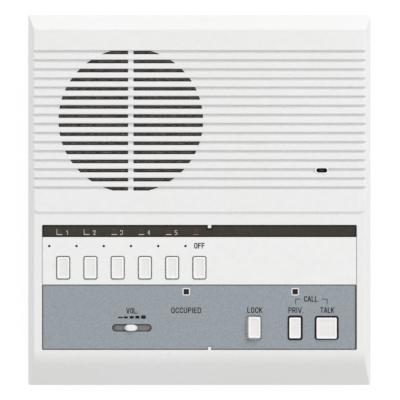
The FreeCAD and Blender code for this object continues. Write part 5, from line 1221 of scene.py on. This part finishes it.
def knob_surface(node_name):
    """Outline: x and y to the power 2.5, as shares of the half sizes, add up to 1. Height: the top, less
    a smooth drop towards the ends, less a quarter round at the edge, plus a sine of ridges."""
    low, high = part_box(node_name)
    centre_x, centre_y = box_middle(node_name)
    half_x, half_y = box_half(node_name)
    turn = np.linspace(0, 2 * math.pi, KNOB_AROUND, endpoint=False)
    outline_x = half_x * np.sign(np.cos(turn)) * np.abs(np.cos(turn)) ** (2 / KNOB_POWER)
    outline_y = half_y * np.sign(np.sin(turn)) * np.abs(np.sin(turn)) ** (2 / KNOB_POWER)
    quarter = np.linspace(0, math.pi / 2, ROUND_STEPS)
    over_edge = 1 - KNOB_EDGE_ROUND / half_y * (1 - np.cos(quarter))
    over_top = np.linspace(over_edge[-1], KNOB_LEAST_SCALE, KNOB_TOP_RINGS)[1:]
    scales = np.concatenate([[1.0], over_edge, over_top])
    x, y = scales[:, None] * outline_x, scales[:, None] * outline_y
    inward = (1 - scales[:, None]) * half_y
    lack = np.clip(KNOB_EDGE_ROUND - inward, 0, None)
    edge_drop = KNOB_EDGE_ROUND - np.sqrt(KNOB_EDGE_ROUND**2 - lack**2)
    end_drop = KNOB_END_DROP * smooth_step((np.abs(x) / half_x - KNOB_FLAT_SHARE) / (1 - KNOB_FLAT_SHARE))
    fade = smooth_step((KNOB_RIDGE_REACH - np.abs(x)) / KNOB_RIDGE_PITCH)
    fade = fade * smooth_step(inward / KNOB_EDGE_ROUND)
    ridges = KNOB_RIDGE_HEIGHT * (0.5 + 0.5 * np.cos(2 * math.pi * x / KNOB_RIDGE_PITCH)) * fade
    z = high.z - KNOB_RIDGE_HEIGHT - edge_drop - end_drop + ridges
    z[0] = low.z
    return ring_surface(np.stack([centre_x + x, centre_y + y, z], axis=-1))


knob_shape = knob_surface("volume_knob")
knob = make_piece("volume_knob_cap", knob_shape, "volume", "knob_plastic", ["volume_knob"])
print("volume knob", [round(size / MM, 1) for size in knob.dimensions])

# %% [markdown]
# Behind the slots is a stretched disc of coarse cloth. A plain weave lifts each crossing over one
# neighbour and under the next, which is the product of two sines over the yarn's pitch. We lay that
# height over a disc, on a square grid that is bent round so that it has no pole, and close it with a
# lower layer to give the cloth its thickness.

# %% Speaker cloth
YARN_PITCH = 1.35 * MM
YARN_WAVE = 0.08 * MM
CLOTH_THICKNESS = 0.2 * MM
CLOTH_STEPS = 198


def cloth_surface(node_name):
    """Square to disc: x is u times the root of 1 - v2/2, and y likewise. Height: the wave's size times
    sin(pi x / pitch) times sin(pi y / pitch), above and below the middle by half of the thickness."""
    low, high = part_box(node_name)
    centre = box_middle(node_name)
    radius = box_half(node_name)[0]
    side = np.linspace(-1, 1, CLOTH_STEPS + 1)
    u, v = np.meshgrid(side, side, indexing="ij")
    x = radius * u * np.sqrt(1 - v * v / 2)
    y = radius * v * np.sqrt(1 - u * u / 2)
    wave = YARN_WAVE * np.sin(math.pi * x / YARN_PITCH) * np.sin(math.pi * y / YARN_PITCH)
    middle = (low.z + high.z) / 2 + wave
    layers = [
        np.stack([centre[0] + x, centre[1] + y, middle + half], axis=-1)
        for half in (CLOTH_THICKNESS / 2, -CLOTH_THICKNESS / 2)
    ]
    index = np.arange(u.size).reshape(u.shape)
    top = np.stack([index[:-1, :-1], index[1:, :-1], index[1:, 1:], index[:-1, 1:]], axis=-1).reshape(-1, 4)
    border = np.concatenate([index[:-1, 0], index[-1, :-1], index[:0:-1, -1], index[0, :0:-1]])
    after = np.roll(border, -1)
    hem = np.stack([border + u.size, after + u.size, after, border], axis=-1)
    faces = np.vstack([top, top[:, ::-1] + u.size, hem])
    return np.vstack([layer.reshape(-1, 3) for layer in layers]), faces.tolist()


weave = cloth_surface("speaker_cloth")
cloth = make_piece("speaker_cloth_weave", weave, "base", "speaker_cloth", ["speaker_cloth"], sharp=80.0)
print("cloth of", len(cloth.data.polygons), "faces")

# %% [markdown]
# Each key stands on its own coil spring. A coil is a circle swept along a helix, with its two end
# turns wound flat so that it stands square.

# %% Key springs
SPRING_WIRE_RADIUS = 0.25 * MM
SPRING_RADIUS = 2.1 * MM
SPRING_TURNS = 5.6
RINGS_PER_TURN = 30
WIRE_SIDES = 12
CLOSED_TURN_RISE = 2.1  # of an end turn, in radii of the wire


def spring_surface(centre_x, centre_y, low, high):
    """Path: a helix whose height rises by one wire in each end turn and evenly between. Ring: a circle
    of the wire's radius spanned by the outward direction and the one square to it and to the path."""
    turn = np.linspace(0, SPRING_TURNS, int(SPRING_TURNS * RINGS_PER_TURN) + 1)
    rise = high - low - 2 * SPRING_WIRE_RADIUS
    closed_rise = CLOSED_TURN_RISE * SPRING_WIRE_RADIUS
    marks = [0, 1, SPRING_TURNS - 1, SPRING_TURNS]
    z = low + SPRING_WIRE_RADIUS + np.interp(turn, marks, [0, closed_rise, rise - closed_rise, rise])
    angle = 2 * math.pi * turn
    outward = np.stack([np.cos(angle), np.sin(angle), np.zeros_like(angle)], axis=-1)
    x, y = centre_x + SPRING_RADIUS * np.cos(angle), centre_y + SPRING_RADIUS * np.sin(angle)
    path = np.stack([x, y, z], axis=-1)
    ahead = np.gradient(path, axis=0)
    ahead /= np.linalg.norm(ahead, axis=1, keepdims=True)
    upward = np.cross(ahead, outward)
    around = np.linspace(0, 2 * math.pi, WIRE_SIDES, endpoint=False)[None, :, None]
    circle = np.cos(around) * outward[:, None] + np.sin(around) * upward[:, None]
    rings = path[:, None] + SPRING_WIRE_RADIUS * circle
    return ring_surface(rings[:, ::-1])


spring_low, spring_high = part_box("key_springs")
for body in KEY_BODIES:
    plunger = node_of(body, "plunger")
    surface = spring_surface(*box_middle(plunger), spring_low.z, spring_high.z)
    spring = make_piece(f"{body}_spring", surface, "base", "spring_steel", ["key_springs"])
    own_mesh(spring)

# %% [markdown]
# Two small square frames trim the indicator lamps in the control plate. Each is a rounded profile
# carried round a rounded rectangle: the rings are the same outline grown by the profile's offset, at the
# profile's height, and the last joins the first.

# %% Trim round the lamps
BEZEL_WIDTH = 0.6 * MM
BEZEL_RISE = 0.22 * MM
BEZEL_CORNER = 0.15 * MM
HOOP_ROUND_SHARE = 0.8  # the quarter rounds against the most that there is room for
HOOP_ROUND_STEPS = 5
PRINT_SINK = 0.02 * MM  # how far trim and ink reach into their plate


def hoop_surface(centre, half_x, half_y, corner, width, low, high):
    """A hoop of the given width round an opening: up its outside, over a quarter round, across, down."""
    turn = np.linspace(0, math.pi / 2, HOOP_ROUND_STEPS)
    edge = min(width / 2, high - low) * HOOP_ROUND_SHARE
    outer = width - edge * (1 - np.cos(turn))
    inner = edge * (1 - np.cos(turn[::-1]))
    offset = np.concatenate([[width], outer, inner, [0.0]])
    rise = high - edge + edge * np.sin(turn)
    z = np.concatenate([[low], rise, rise[::-1], [low]])
    rings = rounded_rings(half_x + offset, half_y + offset, corner + offset, z, centre)
    return ring_surface(rings, closed=True)


control_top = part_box("control_plate")[1].z
lens_low, lens_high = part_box("indicator_lenses")
lens_half = box_half("indicator_lenses")[1]
lens_y = box_middle("indicator_lenses")[1]
indicator_x = (lens_low.x + lens_half, lens_high.x - lens_half)
bezel_size = (lens_half, lens_half, BEZEL_CORNER, BEZEL_WIDTH)
bezel_levels = (control_top - PRINT_SINK, control_top + BEZEL_RISE)
bezels = [hoop_surface((x, lens_y), *bezel_size, *bezel_levels) for x in indicator_x]
make_piece("indicator_bezels", joined(bezels), "base", "knob_plastic")
print("trim made at", round(control_top / MM, 2), "mm")

# %% [markdown]
# The slot of the volume slide is lined where it passes through the cover. The lining is thin and black,
# stands in for the shade on the slot's walls and hides the cover's white wall. Its foot turns in under
# the knob as a lip, whose black paints the shade that outlines the slot.

# %% Slot lining
LINING_SIZE = (22.4 * MM, 4.0 * MM)  # inside, as the slot in the control plate
LINING_WALL = 0.12 * MM
LINING_ROOM = 0.03 * MM  # to the plate above
LIP_REACH = 0.5 * MM
LIP_HEIGHT = 0.2 * MM
LINING_STRAIGHT = 0.001 * MM  # kept at each end, so that no two points of a ring meet

slot_centre = box_middle("volume_pot")
inner_x, inner_y = LINING_SIZE[0] / 2, LINING_SIZE[1] / 2
lining_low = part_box("speaker_cloth")[1].z + LINING_ROOM
lining_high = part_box("control_plate")[0].z - LINING_ROOM
lip_high = lining_low + LIP_HEIGHT
offset = np.array([0.0, 0.0, -LIP_REACH, -LIP_REACH, LINING_WALL, LINING_WALL])
lining_z = np.array([lining_high, lip_high, lip_high, lining_low, lining_low, lining_high])
half_y = inner_y + offset
lining_rings = rounded_rings(inner_x + offset, half_y, half_y - LINING_STRAIGHT, lining_z, slot_centre)
# black lining and lip: painted shade on the slot's walls and round its edge
make_piece("slot_shade_lining", ring_surface(lining_rings, closed=True), "base", "switch_plastic")
print("lining", round((lining_high - lining_low) / MM, 2), "mm high")

# %% [markdown]
# Strokes, bars and underlines are thin prisms of ink: a flat rectangle carried along a path in the
# plane, mitred where the path turns. Dots are short stacks of circles. They reach a little into the
# plate, so that no gap shows from the side.

# %% Printed strokes and dots
PRINT_RISE = 0.03 * MM


def stroke(path, width, plate_z, closed=False):
    """A flat bar along a path of x and y. At a turn it widens by one over the cosine of half the turn."""
    path = np.asarray(path, float)
    ahead = np.roll(path, -1, axis=0) - path if closed else np.diff(path, axis=0)
    ahead /= np.linalg.norm(ahead, axis=1, keepdims=True)
    left = np.stack([-ahead[:, 1], ahead[:, 0]], axis=-1)
    before = np.roll(left, 1, axis=0) if closed else np.vstack([left[:1], left])
    after = left if closed else np.vstack([left, left[-1:]])
    joint = before + after
    joint *= width / 2 / (joint * before).sum(axis=1, keepdims=True)
    low, high = plate_z - PRINT_SINK, plate_z + PRINT_RISE
    sections = [(-1, low), (1, low), (1, high), (-1, high)]
    rings = [np.column_stack([path + side * joint, np.full(len(path), z)]) for side, z in sections]
    return ring_surface(np.stack(rings, axis=1), closed)


def dot(x, y, radius, plate_z):
    """A short round stack."""
    levels = [plate_z - PRINT_SINK, plate_z + PRINT_RISE]
    rings = rounded_rings(radius, radius, radius, levels, (x, y), per_corner=4)
    return ring_surface(rings)


print("print helpers ready")

# %% [markdown]
# The function words are plain labels, as on any such control: narrow letters of one thin stroke, as an
# engraving machine cuts them. Each letter is a few paths in a box one high. A path marked round has
# its corners turned into short curves, and a ring is a round path that closes. A word is fitted to
# the height and width of its print. The plates where a maker would print a name stay bare.

# %% Printed words
LETTER_GAP = 0.30  # in parts of the letter's height, as are the widths below
CURVE_REACH = 0.30
CURVE_STEPS = 5
NEARLY_HALF = 0.48
LETTERS = {
    "A": "0.56 | 0,0 .42,1 .58,1 1,0 | .2,.33 .8,.33",
    "C": "0.46 | round 1,.76 1,1 0,1 0,0 1,0 1,.24",
    "D": "0.50 | 0,0 0,1 | round 0,1 1,1 1,0 0,0",
    "E": "0.42 | 1,1 0,1 0,0 1,0 | 0,.52 .85,.52",
    "F": "0.42 | 1,1 0,1 0,0 | 0,.52 .85,.52",
    "I": "0.00 | 0,0 0,1",
    "K": "0.48 | 0,0 0,1 | 1,1 .08,.42 | .36,.6 1,0",
    "L": "0.42 | 0,1 0,0 1,0",
    "O": "0.48 | ring 0,0 0,1 1,1 1,0",
    "P": "0.46 | 0,0 0,1 | round 0,1 1,1 1,.46 0,.46",
    "R": "0.48 | 0,0 0,1 | round 0,1 1,1 1,.46 0,.46 | .5,.46 1,0",
    "T": "0.50 | 0,1 1,1 | .5,1 .5,0",
    "U": "0.48 | round 0,1 0,0 1,0 1,1",
    "V": "0.56 | 0,1 .42,0 .58,0 1,1",
    ".": "0.00 | 0,0 0,.02",
    "1": "0.24 | 0,.78 1,1 | 1,1 1,0",
    "2": "0.46 | round 0,.74 0,1 1,1 1,.56 0,0 | 0,0 1,0",
    "3": "0.46 | round 0,.8 0,1 1,1 1,.54 .4,.54 | round .4,.54 1,.54 1,0 0,0 0,.2",
    "4": "0.50 | .76,0 .76,1 | round .66,1 0,.28 1,.28",
    "5": "0.46 | .92,1 .06,1 0,.52 | round 0,.52 1,.58 1,0 .05,0",
}


def curved(corners, reach, closed):
    """Turns each corner of a path into a quadratic Bezier curve that leaves and rejoins the path at the
    distance reach, or nearly half way along a shorter side."""
    turning = corners if closed else corners[1:-1]
    before = np.roll(corners, 1, axis=0) if closed else corners[:-2]
    after = np.roll(corners, -1, axis=0) if closed else corners[2:]
    share = np.linspace(0, 1, CURVE_STEPS)[:, None]
    pieces = []
    for corner, last, following in zip(turning, before, after):
        start, end = (
            corner + (other - corner) * min(reach / np.linalg.norm(other - corner), NEARLY_HALF)
            for other in (last, following)
        )
        pieces.append((1 - share) ** 2 * start + 2 * share * (1 - share) * corner + share**2 * end)
    return np.vstack(pieces) if closed else np.vstack([corners[:1], *pieces, corners[-1:]])


def letter_strokes(code, left, low, tall, wide, width, plate_z):
    """The strokes of one letter, whose box starts at left and low, with square ends of half a width."""
    strokes = []
    for path in code.split("|")[1:]:
        words = path.split()
        kind = words[0] if words[0].isalpha() else "straight"
        pairs = [word.split(",") for word in words if not word.isalpha()]
        corners = np.array(pairs, float) * (wide, tall) + (left, low)
        closed = kind == "ring"
        if kind != "straight":
            corners = curved(corners, CURVE_REACH * tall, closed)
        if not closed:
            ends = np.array([corners[0] - corners[1], corners[-1] - corners[-2]])
            corners[[0, -1]] += ends / np.linalg.norm(ends, axis=1, keepdims=True) * width / 2
        strokes.append(stroke(corners, width, plate_z, closed))
    return strokes


def lettering(words, x, y, height, total_width, width, plate_z):
    """The words in strokes of a width, filling a height and a total width about a middle."""
    shares = [float(LETTERS[letter].split()[0]) for letter in words]
    natural = sum(shares) + LETTER_GAP * (len(words) - 1)
    tall = height - width
    scale = (total_width - width) / natural if natural else tall
    left, low = x - natural * scale / 2, y - tall / 2
    strokes = []
    for letter, share in zip(words, shares):
        strokes += letter_strokes(LETTERS[letter], left, low, tall, share * scale, width, plate_z)
        left += (share + LETTER_GAP) * scale
    return joined(strokes)


print(len(LETTERS), "letters and figures")

# %% [markdown]
# On the smoked window each lamp has its number to the right and an underline below. The first two
# carry an upright at the left too, as a tab for a name card, and the sixth, beside the last lamp,
# is a dim red line alone.

# %% Marks on the lamp window
NUMERAL_OFFSET_X = 4.2 * MM  # from a lamp's middle
NUMERAL_OFFSET_Y = -1.0 * MM
NUMERAL_HEIGHT = 2.7 * MM
NUMERAL_WIDTH = 1.45 * MM
NUMERAL_STROKE = 0.3 * MM
NARROW_SHARE = 0.6  # the figure 1 against the others
UNDERLINE_LENGTH = 3.1 * MM
UNDERLINE_DROP = 2.1 * MM
MARK_STROKE = 0.38 * MM
UPRIGHT_RISE = 3.1 * MM
UPRIGHT_COUNT = 2


def underline(x, y):
    """The two ends of a lamp's underline about x and y."""
    return [(x - UNDERLINE_LENGTH / 2, y), (x + UNDERLINE_LENGTH / 2, y)]


window_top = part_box("lamp_window")[1].z
lens_row_low, lens_row_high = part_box("station_lenses")
row_half = box_half("station_lenses")[1]
row_y = box_middle("station_lenses")[1]
lamp_x = np.linspace(lens_row_low.x + row_half, lens_row_high.x - row_half, 6)
underline_y = row_y - UNDERLINE_DROP
numerals, marks = [], []
for number, x in enumerate(lamp_x[:5], start=1):
    width = NUMERAL_WIDTH * (NARROW_SHARE if number == 1 else 1.0)
    spot = (x + NUMERAL_OFFSET_X, row_y + NUMERAL_OFFSET_Y)
    numerals.append(lettering(str(number), *spot, NUMERAL_HEIGHT, width, NUMERAL_STROKE, window_top))
    path = underline(x, underline_y)
    if number <= UPRIGHT_COUNT:
        path.insert(0, (path[0][0], underline_y + UPRIGHT_RISE))
    marks.append(stroke(path, MARK_STROKE, window_top))
make_piece("lamp_numerals", joined(numerals), "base", "ink_white")
make_piece("lamp_marks", joined(marks), "base", "ink_white")
last_mark = stroke(underline(lamp_x[5], underline_y), MARK_STROKE, window_top)
make_piece("last_lamp_mark", last_mark, "base", "ink_dim_red")
print("lamps at", [round(x / MM, 1) for x in lamp_x])

# %% [markdown]
# A black line of ink round the edge of the window and round the tab that holds it at the top is a painted
# shadow of the gaps at these edges.

# %% Border of the lamp window
WINDOW_SHADOW_STROKE = 0.8 * MM
TAB_HALF = 1.15 * MM  # the tab and its room, from the tab's middle
TAB_REACH = 2.0 * MM
TAB_X = 5.8 * MM

window_low, window_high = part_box("lamp_window")
inset = WINDOW_SHADOW_STROKE / 2
left_x, right_x = window_low.x + inset, window_high.x - inset
low_y, high_y = window_low.y + inset, window_high.y - inset
tab_low = window_high.y - TAB_REACH - inset
tab_left, tab_right = TAB_X - TAB_HALF - inset, TAB_X + TAB_HALF + inset
border = [(left_x, low_y), (left_x, high_y), (tab_left, high_y), (tab_left, tab_low)]
border += [(tab_right, tab_low), (tab_right, high_y), (right_x, high_y), (right_x, low_y)]
# painted shadow along the window's edges, as a closed stroke of black ink
window_shadow_line = stroke(border, WINDOW_SHADOW_STROKE, window_top, closed=True)
make_piece("lamp_window_shadow", window_shadow_line, "base", "ink_black")
print("border", round((right_x - left_x) / MM, 1), "mm long")

# %% [markdown]
# The name plate has a small dot at the upper left of each station key, where a name would start, and
# the word over the last key.

# %% Marks on the name plate
DOT_RADIUS = 0.72 * MM
DOT_OFFSET_X = -7.95 * MM  # from a key's middle
LABEL_ROW_RISE = 12.4 * MM
OFF_HEIGHT = 3.3 * MM
OFF_WIDTH = 6.0 * MM
OFF_STROKE = 0.58 * MM
OFF_RISE = 0.2 * MM  # above the row of dots

off_x, off_y = box_middle("off_key")
row_of_dots = off_y + LABEL_ROW_RISE
key_x = np.linspace(box_middle("station_key_1")[0], off_x, 6)
dots = [dot(x + DOT_OFFSET_X, row_of_dots, DOT_RADIUS, plate_top) for x in key_x]
make_piece("station_dots", joined(dots), "base", "ink_black")
off_word = lettering("OFF", off_x, row_of_dots + OFF_RISE, OFF_HEIGHT, OFF_WIDTH, OFF_STROKE, plate_top)
make_piece("off_word", off_word, "base", "ink_grey")
print("dots at", [round((x + DOT_OFFSET_X) / MM, 1) for x in key_x])

# %% [markdown]
# The control plate names what each control does. Five bars that grow in height stand over the volume
# slide, and a bracket under the right-hand lamp spans the two keys that place a call.

# %% Marks on the control plate
WORD_HEIGHT = 3.25 * MM
WORD_STROKE = 0.5 * MM
WORD_RISE = 10.0 * MM  # above the middle of the function keys
CALL_RISE = 16.5 * MM
BRACKET_STROKE = 0.36 * MM
BAR_RISE = 5.9 * MM
BAR_START = -7.9 * MM  # the left end of the first bar, from the middle of the slot
BAR_PITCH = 3.29 * MM
BAR_STEP = 0.06 * MM  # each bar's rise over the one before
BAR_SIZES = [(2.8, 0.8), (2.3, 1.15), (2.35, 1.4), (2.35, 1.65), (2.65, 1.9)]  # length and height in mm
BRACKET_DROP = 0.1 * MM  # below the middle of the word
BRACKET_END = 2.9 * MM  # how far its ends reach down
BRACKET_SHIFT = 0.3 * MM
BRACKET_LEFT, BRACKET_RIGHT = 3.2 * MM, -2.7 * MM  # its inner ends, from the middle of the key below

lock_x, control_y = box_middle("lock_key")
private_x = box_middle("private_key")[0]
talk_x = box_middle("talk_key")[0]
volume_x = slot_centre[0]
WORDS = {  # middle of what it names, then in mm: shift to the right and up, and width
    "VOL.": (volume_x, WORD_RISE, 0.0, -0.2, 6.5),
    "OCCUPIED": (indicator_x[0], WORD_RISE, 0.0, 0.0, 17.1),
    "LOCK": (lock_x, WORD_RISE, 0.7, 0.1, 8.6),
    "PRIV.": (private_x, WORD_RISE, 0.4, 0.1, 8.4),
    "TALK": (talk_x, WORD_RISE, 0.3, 0.1, 7.9),
    "CALL": ((private_x + talk_x) / 2, CALL_RISE, 0.0, 0.0, 7.8),
}
words = []
for word, (x, rise, right, up, width) in WORDS.items():
    spot = (x + right * MM, control_y + rise + up * MM)
    words.append(lettering(word, *spot, WORD_HEIGHT, width * MM, WORD_STROKE, control_top))
make_piece("control_words", joined(words), "base", "ink_grey")

bars = []
for number, (wide, tall) in enumerate(BAR_SIZES):
    x = volume_x + BAR_START + number * BAR_PITCH
    y = control_y + BAR_RISE + number * BAR_STEP
    bars.append(stroke([(x, y), (x + wide * MM, y)], tall * MM, control_top))
make_piece("volume_bars", joined(bars), "base", "ink_black")

bracket_y = control_y + CALL_RISE - BRACKET_DROP
left_x, right_x = private_x + BRACKET_SHIFT, talk_x + BRACKET_SHIFT
end_y = bracket_y - BRACKET_END
left_bracket = [(left_x, end_y), (left_x, bracket_y), (private_x + BRACKET_LEFT, bracket_y)]
right_bracket = [(talk_x + BRACKET_RIGHT, bracket_y), (right_x, bracket_y), (right_x, end_y)]
brackets = [stroke(path, BRACKET_STROKE, control_top) for path in (left_bracket, right_bracket)]
make_piece("call_bracket", joined(brackets), "base", "ink_grey")
print(len(WORDS), "words on the control plate")
